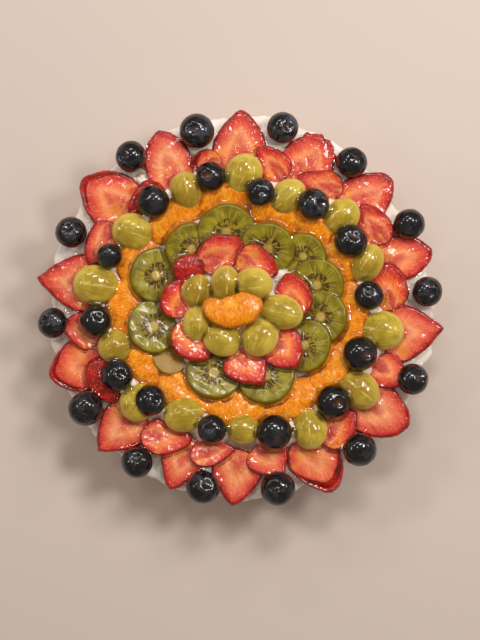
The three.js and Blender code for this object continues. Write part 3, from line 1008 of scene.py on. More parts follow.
@dataclass
class StrawberrySlices:
    """A ring of strawberry slices of one thickness.

    A slice is widest at its shoulder. Taper and point shape its tip: what a pointed berry has, and what a
    round one adds. Waves make its edge uneven, crook is how far its tip may lean aside, dome how high an
    outside bulges, and droop how low a red tip sinks, in thicknesses. Edge gives the rings round its side.
    Apart keeps the fibres of one slice unlike the next one's.
    """

    name: str
    slices: Sequence[Slice]
    thickness: float
    height: float
    nodes: Sequence[str]
    material: bpy.types.Material
    tilt: float = 0.0
    seed: int = 1
    shoulder: float = 0.36
    taper: tuple[float, float] = (1.25, 0.75)
    point: tuple[float, float] = (0.85, -0.35)
    waves: Sequence[tuple[int, float]] = (
        (2, 0.014),
        (3, 0.02),
        (5, 0.014),
        (9, 0.008),
        (23, 0.005),
        (37, 0.005),
    )
    crook: float = 0.05
    dome: float = 2.6
    droop: float = 0.55
    heart_length: float = 0.58
    heart_width: float = 0.52
    apart: float = 0.74
    sides: int = 120
    edge: Sequence[tuple[float, float]] = (
        (0.4, -0.5),
        (0.8, -0.5),
        (0.9, -0.43),
        (0.965, -0.27),
        (1.0, -0.06),
        (1.0, 0.12),
        (0.985, 0.28),
        (0.965, 0.4),
        (0.945, 0.465),
        (0.925, 0.49),
    )
    face_rings: int = 22

    def half_width(self, along: np.ndarray, blunt: float) -> np.ndarray:
        """Gives half the width of a slice.

        Args:
            along: Place along it, 0 at the root and 1 at the tip.
            blunt: How round its tip is.

        Returns:
            Half the width, 1 at the widest.
        """
        back = np.clip((self.shoulder - along) / self.shoulder, 0, 1)
        forward = np.clip((along - self.shoulder) / (1 - self.shoulder), 0, 1)
        taper = self.taper[0] + self.taper[1] * blunt
        point = self.point[0] + self.point[1] * blunt
        tip = np.clip(1 - forward**taper, 0, 1) ** point
        return np.where(along < self.shoulder, np.sqrt(1 - back**2), tip)

    def outline(self, piece: Slice, length: float, chance: np.random.Generator) -> np.ndarray:
        """Gives the uneven edge of one slice.

        Args:
            piece: The slice.
            length: Its length in mm.
            chance: Random numbers.

        Returns:
            Points round it, x along and y across.
        """
        turn = around(self.sides)
        along = (1 + np.cos(turn)) / 2
        half = self.half_width(along, piece.blunt) * piece.width * STEP_MM / 2
        x = np.cos(turn) * length / 2
        y = np.sign(np.sin(turn)) * half
        swell = np.ones(self.sides)
        for wave, size in self.waves:
            swell += size * np.sin(turn * wave + chance.uniform(0, FULL_TURN))
        torn = 0.03 * np.sin(turn * 11) + 0.02 * np.sin(turn * 19 + 1)
        swell += np.clip((along - 0.5) * 4, 0, 1) * piece.ragged * torn
        forward = np.clip(along - 0.3, 0, 1) ** 2 * 1.5
        bend = chance.uniform(-self.crook, self.crook) * piece.width * STEP_MM * forward
        return np.stack([x * swell, y * swell + bend], -1)

    def marks(
        self, piece: Slice, number: int, flat: np.ndarray, inset: np.ndarray, centre: float, grown: float
    ) -> dict[str, np.ndarray]:
        """Gives what the paint reads from a slice.

        Args:
            piece: The slice.
            number: Its place in the ring.
            flat: The points from above, counted from the slice's middle.
            inset: How far in from the edge each ring lies.
            centre: Where along it the fibres meet, in mm.
            grown: How large its heart is for its size.

        Returns:
            The values, each under its name.
        """
        length = piece.axis()[0] * STEP_MM
        along = np.clip(flat[..., 0] / length + 0.5, 0, 1)
        half = piece.width * STEP_MM / 2 * self.half_width(along, piece.blunt)
        share = np.abs(flat[..., 1]) / half.clip(0.5)
        lengthwise = (along / (self.heart_length * grown)) ** 1.4
        crosswise = (share / (self.heart_width * grown)) ** 1.6
        heading = np.arctan2(flat[..., 1], flat[..., 0] - centre)
        insets = np.repeat(inset, self.sides, 1)
        return {
            "along": along,
            "heart": 1 - lengthwise - crosswise,
            "inset": insets,
            "spoke": np.stack([np.cos(heading) + number * self.apart, np.sin(heading), insets], -1),
            "tone": np.full((1, 1), piece.tone),
        }

    def skin(self, piece: Slice, number: int) -> Skin:
        """Shapes one slice.

        Args:
            piece: The slice.
            number: Its place in the ring.

        Returns:
            Its skin, in place.
        """
        chance = np.random.default_rng(self.seed * 100 + number)
        steps, angle, reach, turn = piece.axis()
        length = steps * STEP_MM
        outline = self.outline(piece, length, chance)
        middle = np.array([length * (chance.uniform(0.2, 0.32) - 0.5), 0.0])
        inner = 1 - np.linspace(0, 1, self.face_rings + 1)[1:-1] ** 1.1
        out, up = slice_rings(self.edge, inner)
        inset = np.concatenate([np.zeros(len(self.edge)), 1 - inner])[:, None]
        flat = middle + (outline[None] - middle) * out[:, None, None]
        marks = self.marks(piece, number, flat, inset, middle[0], chance.uniform(0.85, 1.2))
        height = np.repeat(up[:, None] * self.thickness, self.sides, 1)
        on_face = inset > 0
        outside = np.where(on_face, 0.0, 1.0)
        if piece.face is Face.OUTSIDE:
            height = height + on_face * (1 - (1 - inset) ** 2) ** 0.8 * self.dome
            outside = np.ones_like(outside)
        if piece.band > 0:
            reached = np.clip((marks["along"] - 0.45) / 0.3, 0, 1) * piece.band
            outside = np.maximum(outside, np.clip((reached - inset) / 0.03, 0, 1))
            sunk = on_face * np.clip(reached - inset, 0, 1) / piece.band
            height = height - sunk * self.droop * self.thickness
        marks["outside"] = outside
        points = np.concatenate([flat, height[..., None]], -1)
        points[..., 2] += Ripple(self.seed * 7 + number, 9, 0.35).at(points) * upper(up)
        points[..., 2] += Ripple(self.seed * 9 + number, 3, 0.12).at(points) * upper(up)
        return Skin(Place(angle, reach, self.height, turn, self.tilt).set(points), marks)

    def build(self) -> list[bpy.types.Object]:
        """Builds and dresses every slice.

        Returns:
            The pieces, in the ring's order.
        """
        made = []
        for number, piece in enumerate(self.slices):
            name = f"{self.name}_{number + 1:02d}"
            node = self.nodes[number] if len(self.nodes) > 1 else self.nodes[0]
            made.append(dress(self.skin(piece, number).build(name, self.material), "strawberry", node))
        return made


@dataclass(frozen=True)
class Berry:
    """A blueberry: its place and size in steps, and how much bloom and scar it shows."""

    angle: float
    reach: float
    size: float
    bloom: float = 0.4
    scar: float = 0.0


@dataclass
class Blueberries:
    """A ring of blueberries that lean different ways.

    Where no height is given, each lies its clearance over the cream. The crown is a hollow with a raised
    rim of soft lobes, and its sizes are in shares of the berry's radius.
    """

    name: str
    berries: Sequence[Berry]
    random: Random
    material: bpy.types.Material
    height: float | None = None
    clearance: float = 0.4
    squash: float = 0.9
    fullness: float = 1.06
    lean: float = 38.0
    crown: float = 0.4
    crown_depth: float = 0.17
    rim: float = 0.3
    rim_height: float = 0.035
    lobes: int = 5
    scar: float = 0.2
    sides: int = 48
    levels: int = 30

    def leans(self) -> list[tuple[float, float]]:
        """A lean and a turn for each berry."""
        chance = self.random
        return [(self.lean * (0.3 + 0.7 * chance.next()), 360 * chance.next()) for _ in self.berries]

    def skin(self, berry: Berry, lean: tuple[float, float], number: int) -> Skin:
        """Shapes one berry.

        Args:
            berry: The berry.
            lean: How far it tips and which way.
            number: Its place in the ring.

        Returns:
            Its skin, in place.
        """
        radius = berry.size * STEP_MM / 2 * self.fullness
        polar = np.linspace(0.04, 0.985, self.levels)[:, None] * math.pi
        turn = around(self.sides)[None]
        out = np.sin(polar) ** 0.93 * np.ones_like(turn)
        up = -np.cos(polar) * self.squash * np.ones_like(turn)
        crown = np.clip(1 - out / self.crown, 0, 1) * (up > 0)
        lobes = 0.5 + 0.5 * np.cos(turn * self.lobes + number)
        rim = bell(out, self.rim + 0.05 * lobes, 0.06) * (up > 0)
        up = up - crown**0.8 * self.crown_depth + rim * self.rim_height * (0.4 + lobes)
        points = np.stack([out * np.cos(turn), out * np.sin(turn), up], -1) * radius
        uneven = Ripple(number + 50, 14, 0.16).at(points) + Ripple(number + 70, 4.2, 0.07).at(points)
        points = points + (points / radius) * uneven[..., None]
        tipped = turned(points, 1, lean[0])
        height = self.height if self.height is not None else self.clearance + radius / self.fullness
        placed = Place(berry.angle, berry.reach, height, turn=lean[1]).set(tipped)
        scar = bell(out, 0, self.scar) * (up > 0) * berry.scar
        bloom = np.clip(1 - np.abs(out - 0.45) * 0.9, 0, 1) * berry.bloom
        return Skin(placed, {"bloom": bloom, "scar": scar})

    def build(self) -> list[bpy.types.Object]:
        """Builds and dresses every berry.

        Returns:
            The pieces, in the ring's order.
        """
        made = []
        for number, (berry, lean) in enumerate(zip(self.berries, self.leans())):
            node = f"{self.name}_{number + 1:02d}"
            piece = self.skin(berry, lean, number).build(f"{node}_berry", self.material)
            made.append(dress(piece, "blueberry", node))
        return made


@dataclass(frozen=True)
class Grape:
    """A halved grape: place and size in steps, its turn, its rise in mm, and how brown it looks."""

    angle: float
    reach: float
    length: float
    width: float
    turn: float
    rise: float = 0.0
    brown: float = 0.1


@dataclass
class Grapes:
    """Halved grapes, flat side down, with their outer end up.

    Foot gives the rings under the dome, and lip is how high the dome starts, in shares of its height.
    """

    name: str
    grapes: Sequence[Grape]
    dome: float
    height: float
    tilt: float
    material: bpy.types.Material
    foot: Sequence[tuple[float, float]] = ((0.5, 0.0), (0.97, 0.0), (0.995, 0.03))
    lip: float = 0.06
    sides: int = 64
    levels: int = 22

    def skin(self, grape: Grape, number: int) -> Skin:
        """Shapes one half.

        Args:
            grape: The grape.
            number: Its place in the ring.

        Returns:
            Its skin, in place.
        """
        length = grape.length * STEP_MM / 2
        width = grape.width * STEP_MM / 2
        climb = np.linspace(0, 0.97, self.levels) * math.pi / 2
        out = np.concatenate([[ring[0] for ring in self.foot], np.cos(climb)])[:, None]
        dome = self.lip + (1 - self.lip) * np.sin(climb)
        up = np.concatenate([[ring[1] for ring in self.foot], dome])[:, None]
        turn = around(self.sides)[None]
        x, y = out * np.cos(turn) * length, out * np.sin(turn) * width
        z = up * self.dome * np.ones_like(turn)
        points = np.stack([x, y, z], -1)
        points[..., 2] += Ripple(number + 80, 16, 0.3).at(points) * up
        points[..., 2] += Ripple(number + 110, 4.0, 0.07).at(points) * up
        along = x / length
        longitude = (y / width) / np.sqrt(np.clip(1 - along**2, 0.02, 1))
        lengthwise = np.stack([along + number, longitude, np.zeros_like(along)], -1)
        where = Place(grape.angle, grape.reach, self.height + grape.rise, grape.turn, self.tilt)
        marks = {
            "longitude": longitude,
            "lengthwise": lengthwise,
            # How high on the dome: the paint lightens the low parts as painted light.
            "up": up * np.ones_like(turn),
            "brown": np.full((1, 1), grape.brown),
        }
        return Skin(where.set(points), marks)

    def build(self) -> list[bpy.types.Object]:
        """Builds and dresses every half.

        Returns:
            The pieces, in the ring's order.
        """
        made = []
        for number, grape in enumerate(self.grapes):
            node = f"{self.name}_{number + 1:02d}"
            made.append(dress(self.skin(grape, number).build(f"{node}_half", self.material), "grape", node))
        return made


@dataclass(frozen=True)
class Segment:
    """A mandarin segment: place and size in steps."""

    angle: float
    reach: float
    length: float
    width: float


@dataclass
class Mandarins:
    """Mandarin segments laid end to end, their round backs outward.

    Bow is how far a segment curves for its length, thin how much its inner edge is thinner than its back,
    and hump how far its inner edge swells and dips, in mm. Apart keeps the sacs of one segment unlike the
    next one's, and packed is how many lie round it for its width.
    """

    name: str
    segments: Sequence[Segment]
    thickness: float
    node: str
    material: bpy.types.Material
    height: float
    turn: float = -90.0
    fullness: float = 0.85
    bow: float = 0.11
    thin: float = 0.3
    hump: float = 0.0
    apart: float = 40.0
    packed: float = 2.6
    stations: int = 60
    sides: int = 48

    def skin(self, segment: Segment, number: int) -> Skin:
        """Shapes one segment.

        Args:
            segment: The segment.
            number: Its place in the ring.

        Returns:
            Its skin, in place.
        """
        length, width = segment.length * STEP_MM, segment.width * STEP_MM
        turn = np.linspace(0.03, 0.97, self.stations)[:, None] * math.pi
        along = -np.cos(turn)
        full = np.sin(turn) ** self.fullness
        bow = length * self.bow * (np.sin(turn) ** 2 - 0.5)
        way = around(self.sides)[None]
        wedge = 1 - self.thin + self.thin * np.cos(way)
        x = along * length / 2 * np.ones_like(way)
        lump = bell(along, -0.35, 0.28) - 0.8 * bell(along, 0.38, 0.16)
        y = bow + np.cos(way) * width / 2 * full + np.clip(np.cos(way), -1, 0) * lump * self.hump
        z = np.sin(way) * wedge * self.thickness / 2 * full
        points = np.stack([x, y, z], -1)
        swell = Ripple(number + 130, 8, 0.45).at(points) + Ripple(number + 160, 3.2, 0.16).at(points)
        every = np.ones_like(x)
        away = np.stack([0 * every, np.cos(way) * every, np.sin(way) * every], -1)
        points = points + away * swell[..., None]
        marks = {
            "sacs": np.stack([x + self.apart * number, way / FULL_TURN * width * self.packed * every, z], -1),
            # How low a point lies round the segment: the paint puts painted shade on low points and a painted
            # highlight on high ones.
            "low": np.clip(1 - np.sin(way) * np.sin(turn), 0, 1),
        }
        where = Place(segment.angle, segment.reach, self.height, self.turn)
        return Skin(where.set(points), marks)

    def build(self) -> list[bpy.types.Object]:
        """Builds and dresses every segment.

        Returns:
            The pieces, in the ring's order.
        """
        made = []
        for number, segment in enumerate(self.segments):
            piece = self.skin(segment, number).build(f"{self.name}_{number + 1:02d}", self.material)
            made.append(dress(piece, "mandarin", self.node))
        return made


@dataclass(frozen=True)
class Disc:
    """A kiwi slice: place and radius in steps, width for its length, brown tint, and mm it lies lower."""

    angle: float
    reach: float
    radius: float
    wide: float
    brown: float = 0.1
    sunk: float = 0.0


@dataclass
class Kiwis:
    """Kiwi slices that overlap like shingles.

    Waves make the edge uneven, and edge gives the rings round the side. A shallow hollow runs where the
    seeds lie. Apart keeps the rays of one slice unlike the next one's.
    """

    discs: Sequence[Disc]
    thickness: float
    height: float
    tilt: float
    roll: float
    material: bpy.types.Material
    waves: Sequence[tuple[int, float]] = ((2, 0.012), (3, 0.012), (5, 0.008), (11, 0.004))
    hollow_at: float = 0.36
    hollow_width: float = 0.12
    hollow_depth: float = 0.25
    apart: float = 2.3
    sides: int = 96
    edge: Sequence[tuple[float, float]] = (
        (0.45, -0.5),
        (0.88, -0.5),
        (0.94, -0.42),
        (0.985, -0.22),
        (1.0, -0.02),
        (0.995, 0.18),
        (0.975, 0.34),
        (0.95, 0.44),
        (0.925, 0.49),
    )
    face_rings: int = 22

    def skin(self, disc: Disc, number: int) -> Skin:
        """Shapes one slice.

        Args:
            disc: The slice.
            number: Its place in the ring.

        Returns:
            Its skin, in place.
        """
        chance = np.random.default_rng(300 + number)
        radius = disc.radius * STEP_MM
        turn = around(self.sides)
        swell = np.ones(self.sides)
        for wave, size in self.waves:
            swell += size * np.sin(turn * wave + chance.uniform(0, FULL_TURN))
        out, up = slice_rings(self.edge, np.linspace(1, 0, self.face_rings + 1)[1:-1])
        x = np.cos(turn) * radius * swell * out[:, None]
        y = np.sin(turn) * radius * disc.wide * swell * out[:, None]
        z = np.repeat((up * self.thickness)[:, None], self.sides, 1)
        points = np.stack([x, y, z], -1)
        hollow = bell(out[:, None], self.hollow_at, self.hollow_width) * self.hollow_depth
        uneven = Ripple(number + 210, 7, 0.3).at(points) - hollow
        points[..., 2] += uneven * upper(up) * (1 - disc.brown)
        spin = chance.uniform(0, FULL_TURN)
        reach = np.repeat(out[:, None], self.sides, 1)
        heading = np.repeat((turn + spin)[None], len(out), 0)
        spoke = np.stack([np.cos(heading), np.sin(heading), reach + number * self.apart], -1)
        where = Place(disc.angle, disc.reach, self.height - disc.sunk, 0.0, self.tilt, self.roll)
        return Skin(where.set(points), {"spoke": spoke, "reach": reach, "brown": np.full((1, 1), disc.brown)})

    def build(self) -> list[bpy.types.Object]:
        """Builds and dresses every slice.

        Returns:
            The pieces, in the ring's order.
        """
        made = []
        for number, disc in enumerate(self.discs):
            piece = self.skin(disc, number).build(f"kiwi_{number + 1:02d}", self.material)
            made.append(dress(piece, "kiwi", "kiwi_ring"))
        return made


@dataclass
class Cream:
    """The layer of cream with an uneven edge.

    Each dent has an angle, a depth in mm and a spread in degrees. Side gives the rings from the foot up:
    the height over the foot and the inset in mm, then how much of the edge's wave and peaks they follow.
    """

    material: bpy.types.Material
    radius: float = 115.0
    wave: float = 1.1
    peak: float = 1.0
    gap: float = 0.3
    sides: int = 420
    dents: Sequence[Triple] = ((37, 4.5, 13), (308, 5, 14), (346.5, -3, 4))
    side: Sequence[tuple[float, float, float, float]] = (
        (0.0, 60.0, 0.0, 0.0),
        (0.0, 12.0, 0.3, 0.0),
        (0.0, 4.0, 0.4, 0.0),
        (0.696, 2.0, 0.6, 0.0),
        (1.74, 0.8, 0.8, 0.0),
        (3.045, 0.2, 1.0, 0.05),
        (4.35, 0.0, 1.1, 0.1),
        (5.655, 0.0, 1.2, 0.2),
        (6.786, 0.5, 1.2, 0.5),
        (7.656, 1.4, 1.1, 0.9),
        (7.9, 2.6, 1.0, 1.0),
        (8.5, 4.4, 0.8, 0.6),
    )
    resting: int = 3
    top_rings: int = 60

    def edge_wave(self, turn: np.ndarray) -> np.ndarray:
        """Gives how far the edge bulges or stays back.

        Args:
            turn: The turns, in radians.

        Returns:
            The distances in mm.
        """
        slow = np.sin(turn * 5 + 0.7) * 0.5
        middle = np.sin(turn * 13 + 2.1) * 0.7
        wave = self.wave * (slow + middle + np.sin(turn * 23 + 0.4) * 0.6)
        for angle, depth, spread in self.dents:
            wave -= depth * bell(np.degrees(turn), angle, spread)
        return wave

    def skin(self) -> Skin:
        """Shapes the layer.

        Returns:
            Its skin.
        """
        foot = CRUST_TOP + self.gap
        levels = [(foot + height, *rest) for height, *rest in self.side]
        inward = np.linspace(6, self.radius - 2, self.top_rings)
        levels += [(CREAM_TOP, inset, max(0.0, 0.4 - inset * 0.02), 0.0) for inset in inward]
        turn = around(self.sides)
        peaks = self.peak * np.clip(np.sin(turn * 17 + 1.3), 0, None) ** 3
        rings = []
        for height, inset, wave, peak in levels:
            radius = self.radius - inset + self.edge_wave(turn) * wave
            rings.append(np.stack([radius * np.cos(turn), radius * np.sin(turn), height + peaks * peak], -1))
        points = np.array(rings)
        ring = np.arange(len(levels))[:, None]
        lumps = Ripple(21, 11, 0.5).at(points) + Ripple(22, 4.5, 0.35).at(points)
        sideways = lumps * ((ring >= self.resting) & (ring < len(self.side)))
        points = points + outward(points) * sideways[..., None]
        points[..., 2] += lumps * (ring > self.resting) * 0.5
        return Skin(points)

    def build(self) -> bpy.types.Object:
        """Builds and dresses the layer."""
        return dress(self.skin().build("cream_layer", self.material), "cream", "cream")


@dataclass
class Crust:
    """The pastry case, fluted round its sloping side.

    Foot and rim give the rings under and over the wall: the height as a share and the inset in mm. Wall
    is the share where the wall starts and ends, and its number of rings.
    """

    material: bpy.types.Material
    height: float = CRUST_TOP
    top_radius: float = 110.5
    foot_radius: float = 104.0
    flutes: int = 32
    depth: float = 2.2
    foot: Sequence[tuple[float, float]] = ((0, 60), (0, 14), (0, 1.2), (0.02, 0.3))
    wall: tuple[float, float, int] = (0.06, 0.93, 18)
    rim: Sequence[tuple[float, float]] = ((0.965, 0.3), (0.985, 0.9), (1, 2.2), (1, 12), (1, 60))
    fluted_inset: float = 20.0
    rough_inset: float = 1.0
    per_flute: int = 14

    def skin(self) -> Skin:
        """Shapes the case.

        Returns:
            Its skin.
        """
        turn = around(self.flutes * self.per_flute)
        flute = np.abs(np.sin(turn * self.flutes / 2)) ** 0.8
        wall = [(lift, 0.0) for lift in np.linspace(*self.wall)]
        lifts, insets = np.array([*self.foot, *wall, *self.rim]).T[..., None]
        plain = self.foot_radius + (self.top_radius - self.foot_radius) * lifts - insets
        radius = plain - self.depth * (1 - flute) * (insets < self.fluted_inset)
        height = np.repeat(lifts * self.height, len(turn), 1)
        points = np.stack([radius * np.cos(turn), radius * np.sin(turn), height], -1)
        lumps = Ripple(31, 13, 0.35).at(points) + Ripple(32, 4, 0.22).at(points)
        pits = np.abs(lumps) * (insets < self.rough_inset)
        points = points - outward(points) * pits[..., None]
        return Skin(points, {"ridge": flute[None], "lift": lifts})

    def build(self) -> bpy.types.Object:
        """Builds and dresses the case."""
        return dress(self.skin().build("crust_case", self.material), "crust", "crust")


@dataclass
class Relief:
    """The heights of the finished top, read on a square grid.

    Above is the height from which it is read, and skip how far a reading starts below the last hit, both
    in metres.
    """

    radius: float = 117.0
    cell: float = 0.6
    above: float = 0.08
    skip: float = 1e-5
    grid: np.ndarray = field(default_factory=lambda: np.zeros((1, 1)))
    bare: np.ndarray = field(default_factory=lambda: np.zeros((1, 1), bool))

    def read(self, ground: str, loose: str) -> None:
        """Reads the heights from above, and where the ground is bare.

        Args:
            ground: The piece that counts as bare ground.
            loose: The piece that lies loose on top and isn't counted.
        """
        bpy.context.view_layer.update()
        graph = bpy.context.evaluated_depsgraph_get()
        scene = bpy.context.scene
        count = int(2 * self.radius / self.cell) + 1
        self.grid = np.zeros((count, count))
        self.bare = np.zeros((count, count), bool)
        down = Vector((0, 0, -1))
        for row in range(count):
            y = -self.radius + row * self.cell
            for column in range(count):
                x = -self.radius + column * self.cell
                if x * x + y * y > self.radius**2:
                    continue
                point, piece = Vector((x * MM, y * MM, self.above)), None
                while piece is None or piece.name == loose:
                    hit, point, _, _, piece, _ = scene.ray_cast(graph, point + down * self.skip, down)
                    if not hit:
                        break
                if hit:
                    self.grid[row, column] = point.z / MM
                    self.bare[row, column] = piece.name == ground

    def cap(self, ball: float) -> dict[tuple[int, int], float]:
        """Gives the upper side of a ball.

        Args:
            ball: Its radius in mm.

        Returns:
            How far it falls at each cell from its highest point, as a number of 0 or less.
        """
        steps = int(ball / self.cell)
        drops = {}
        for row in range(-steps, steps + 1):
            for column in range(-steps, steps + 1):
                flat = (row * row + column * column) * self.cell**2
                if flat < ball**2:
                    drops[(row, column)] = math.sqrt(ball**2 - flat) - ball
        return drops

    def rolled(self, grid: np.ndarray, ball: float) -> np.ndarray:
        """Lets a ball roll over heights and fills what it can't reach.

        Args:
            grid: The heights.
            ball: The ball's radius in mm.

        Returns:
            The filled heights.
        """
        drops = self.cap(ball)
        spread = np.full_like(grid, -math.inf)
        for (row, column), drop in drops.items():
            spread = np.maximum(spread, np.roll(grid, (row, column), (0, 1)) + drop)
        settled = np.full_like(grid, math.inf)
        for (row, column), drop in drops.items():
            settled = np.minimum(settled, np.roll(spread, (row, column), (0, 1)) - drop)
        return settled

    def widened(self, mask: np.ndarray, steps: int) -> np.ndarray:
        """Grows a mask.

        Args:
            mask: The marked points.
            steps: By how many cells it grows.

        Returns:
            The grown mask.
        """
        for _ in range(steps):
            grown = mask.copy()
            for shift in ((0, 1), (0, -1), (1, 0), (-1, 0)):
                grown |= np.roll(mask, shift, (0, 1))
            mask = grown
        return mask

    def sheet(
        self, name: str, heights: np.ndarray, mask: np.ndarray, skirt: float | None = None
    ) -> bpy.types.Object:
        """Makes a mesh over the marked cells.

        Args:
            name: The piece's name.
            heights: The heights in mm.
            mask: The points that it covers.
            skirt: How high the foot of its sides is in mm, or nothing for none.

        Returns:
            The object.
        """
        used = mask[:-1, :-1] & mask[1:, :-1] & mask[:-1, 1:] & mask[1:, 1:]
        rows, columns = np.nonzero(used)
        count = mask.shape[0]
        first = rows * count + columns
        corners = np.stack([first, first + 1, first + count + 1, first + count], -1)
        kept, index = np.unique(corners, return_inverse=True)
        row, column = kept // count, kept % count
        x = -self.radius + column * self.cell
        y = -self.radius + row * self.cell
        points = np.stack([x, y, heights[row, column]], -1)
        faces = index.reshape(-1, 4).tolist()
        if skirt is not None:
            seen = {(face[i], face[(i + 1) % 4]) for face in faces for i in range(4)}
            rim = [(a, b) for a, b in seen if (b, a) not in seen]
            total = len(points)
            points = np.concatenate([points, np.stack([x, y, np.full_like(x, skirt)], -1)])
            faces += [[b, a, a + total, b + total] for a, b in rim]
        mesh = bpy.data.meshes.new(name)
        mesh.from_pydata((points * MM).tolist(), [], faces)
        mesh.shade_smooth()
        piece = bpy.data.objects.new(name, mesh)
        bpy.context.scene.collection.objects.link(piece)
        LOG.info("made %s with %d faces", name, len(faces))
        return piece


@dataclass
class CreamBetween:
    """Cream pressed up between the pieces of fruit.

    A ball is rolled over the fruit, and the cream lies below its path. Outward it slopes under the layer's
    top, sink deep at the reach. A low mound fills the middle under the segment on top.
    """

    relief: Relief
    material: bpy.types.Material
    ball: float = 9.0
    below: float = 5.6
    off_tart: float = CREAM_TOP - 6
    overlap: int = 3
    reach: float = 111.5
    slope: float = 0.5
    sink: float = 1.0
    flush: float = CREAM_TOP - 0.2
    foot: float = CREAM_TOP - 0.5
    mound_at: tuple[float, float] = (0.0, -1.0)
    mound_radius: float = 15.0
    mound_top: float = 48.5
    mound_drop: float = 6.0

    def build(self) -> bpy.types.Object:
        """Builds and dresses it, and raises the relief to it.

        Returns:
            The piece.
        """
        relief = self.relief
        filled = relief.rolled(np.where(relief.grid < CRUST_TOP, self.off_tart, relief.grid), self.ball)
        rows, columns = np.indices(relief.grid.shape)
        place = np.stack([columns * relief.cell, rows * relief.cell, np.zeros(rows.shape)], -1)
        lumps = Ripple(41, 5, 0.5).at(place) + Ripple(42, 2.4, 0.2).at(place)
        x, y = columns * relief.cell - relief.radius, rows * relief.cell - relief.radius
        inside = self.reach - np.hypot(x, y)
        heights = np.minimum(filled - self.below + lumps, CREAM_TOP - self.sink + inside * self.slope)
        across = np.hypot(x - self.mound_at[0], y - self.mound_at[1]) / self.mound_radius
        mound = self.mound_top - self.mound_drop * across**2 + lumps
        heights = np.maximum(heights, np.where(across < 1, mound, 0))
        high = relief.bare & (heights > self.flush)
        mask = relief.widened(high, self.overlap) & (inside > 0)
        piece = relief.sheet("cream_between", heights, mask, self.foot)
        piece.data.materials.append(self.material)
        relief.grid = np.where(high, np.maximum(relief.grid, heights), relief.grid)
        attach(piece, "root")
        return piece


@dataclass
class Glaze:
    """The clear glaze that bridges narrow gaps between pieces of fruit.

    It lies where a small ball can't reach, over all that is higher than lowest and isn't too steep.
    """

    relief: Relief
    material: bpy.types.Material
    ball: float = 3.0
    least: float = 0.1
    lowest: float = CREAM_TOP - 2
    steepest: float = 0.9
    lift: float = 0.06

    def build(self) -> bpy.types.Object:
        """Builds and dresses the film.

        Returns:
            The film.
        """
        grid = self.relief.grid
        film = self.relief.rolled(grid, self.ball)
        down, across = np.gradient(film, self.relief.cell)
        wet = (film - grid > self.least) & (grid > self.lowest) & (np.hypot(down, across) < self.steepest)
        piece = self.relief.sheet("glaze", film + self.lift, wet)
        piece.data.materials.append(self.material)
        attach(piece, "root")
        return piece


RIM_BERRIES = (
    Berry(5, 187, 29, 0.5),
    Berry(26.5, 188, 30, 0.2),
    Berry(52.8, 183, 30, 0.2),
    Berry(77, 185, 30, 0.8, 0.4),
    Berry(104, 182, 33, 0.7, 0.3),
    Berry(126, 187, 30, 0.4),
    Berry(156, 186, 30, 0.9),
    Berry(184.5, 189, 29, 0.9),
    Berry(213, 185, 33, 0.5),
    Berry(236, 186, 30, 0.4),
    Berry(258, 183, 32, 0.5, 0.3),
    Berry(281.5, 184, 33, 0.3),
    Berry(310, 185, 32, 0.3),
    Berry(337.5, 186, 30, 0.2, 0.4),
)

INNER_BERRIES = (
    Berry(5.5, 128, 28, 0.3),
    Berry(31.5, 128, 32, 0.3, 0.4),
    Berry(55, 126, 31, 0.6),
    Berry(80.5, 117, 27, 0.5),
    Berry(103, 134, 28, 0.1, 1.0),
    Berry(129.5, 137, 31, 0.2),
    Berry(158.5, 141, 24, 0.3),
    Berry(185, 145, 30, 0.1),
    Berry(208.5, 140, 30, 0.3),
    Berry(225.5, 129, 30, 0.2),
    Berry(256.5, 124, 28, 0.3),
    Berry(285, 128, 34, 0.2, 0.5),
    Berry(314.5, 131, 33, 0.1, 0.8),
    Berry(339, 127, 33, 0.1, 0.8),
)

OUTER_GRAPES = (
    Grape(19.5, 134, 42, 32, 38, brown=0.25),
    Grape(42.3, 136, 41, 35, 0, brown=0.1),
    Grape(67.5, 121, 42, 33, -27),
    Grape(89, 134, 44, 38, -24),
    Grape(115, 130, 39, 34, -15, brown=0.3),
    Grape(145, 133, 42, 38, 15),
    Grape(171, 146.5, 48, 41, 0),
    Grape(197, 132, 36, 34, 0, brown=0.3),
    Grape(222.5, 140, 40, 38, 20, brown=0.15),
    Grape(241.7, 121, 42, 37, -52, brown=0.15),
    Grape(271, 122, 35, 31, 80, brown=0.2),
    Grape(299.7, 139, 43, 36, -20),
    Grape(325.5, 143.5, 46, 37, -5, brown=0.3),
    Grape(351, 143, 45, 40, 0, brown=0.05),
)

CENTRE_GRAPES = (
    Grape(124, 28.8, 39, 31, -39, brown=0.3),
    Grape(158.2, 48.5, 34, 31, -78, 0.4, 0.35),
    Grape(62.4, 26.5, 40, 36, -52, 0.8, 0.1),
    Grape(198.8, 46.5, 37, 30, 61, 0.8, 0.1),
    Grape(354.3, 40.2, 47, 35, -9, 1.2, 0.1),
    Grape(238.5, 36.4, 40, 36, -84, 1.2, 0.1),
    Grape(303.2, 34.7, 41, 38, -53, 1.6, 0.1),
)

OUTER_SLICES = (
    Slice((18, 134), (16.5, 201), 47, 0.9, 0.7),
    Slice((42, 134), (40.5, 200), 55, 0.7, 0.5),
    Slice((66, 132), (64, 192), 58, 0.9, 0.75, ragged=1.0),
    Slice((91, 134), (90, 198), 57, 0.6, 0.55),
    Slice((119, 134), (114.5, 197), 50, 0.75, 0.15),
    Slice((140, 138), (140, 206), 60, 0.7, 0.65, band=0.1),
    Slice((171, 138), (171.5, 207), 60, 0.1, 0.3),
    Slice((198, 141), (201, 204), 56, 0.8, 0.6, band=0.12),
    Slice((225, 141), (225, 204), 54, 0.1, 0.25),
    Slice((249, 139), (249, 197), 48, 0.1, 0.3),
    Slice((269, 141), (268.3, 200), 53, 0.2, 0.3),
    Slice((296, 141), (296.5, 206), 55, 0.8, 0.5, band=0.24),
    Slice((322.5, 141), (323.5, 207), 58, 0.7, 0.15),
    Slice((349, 141), (354, 204), 60, 0.2, 0.35),
)

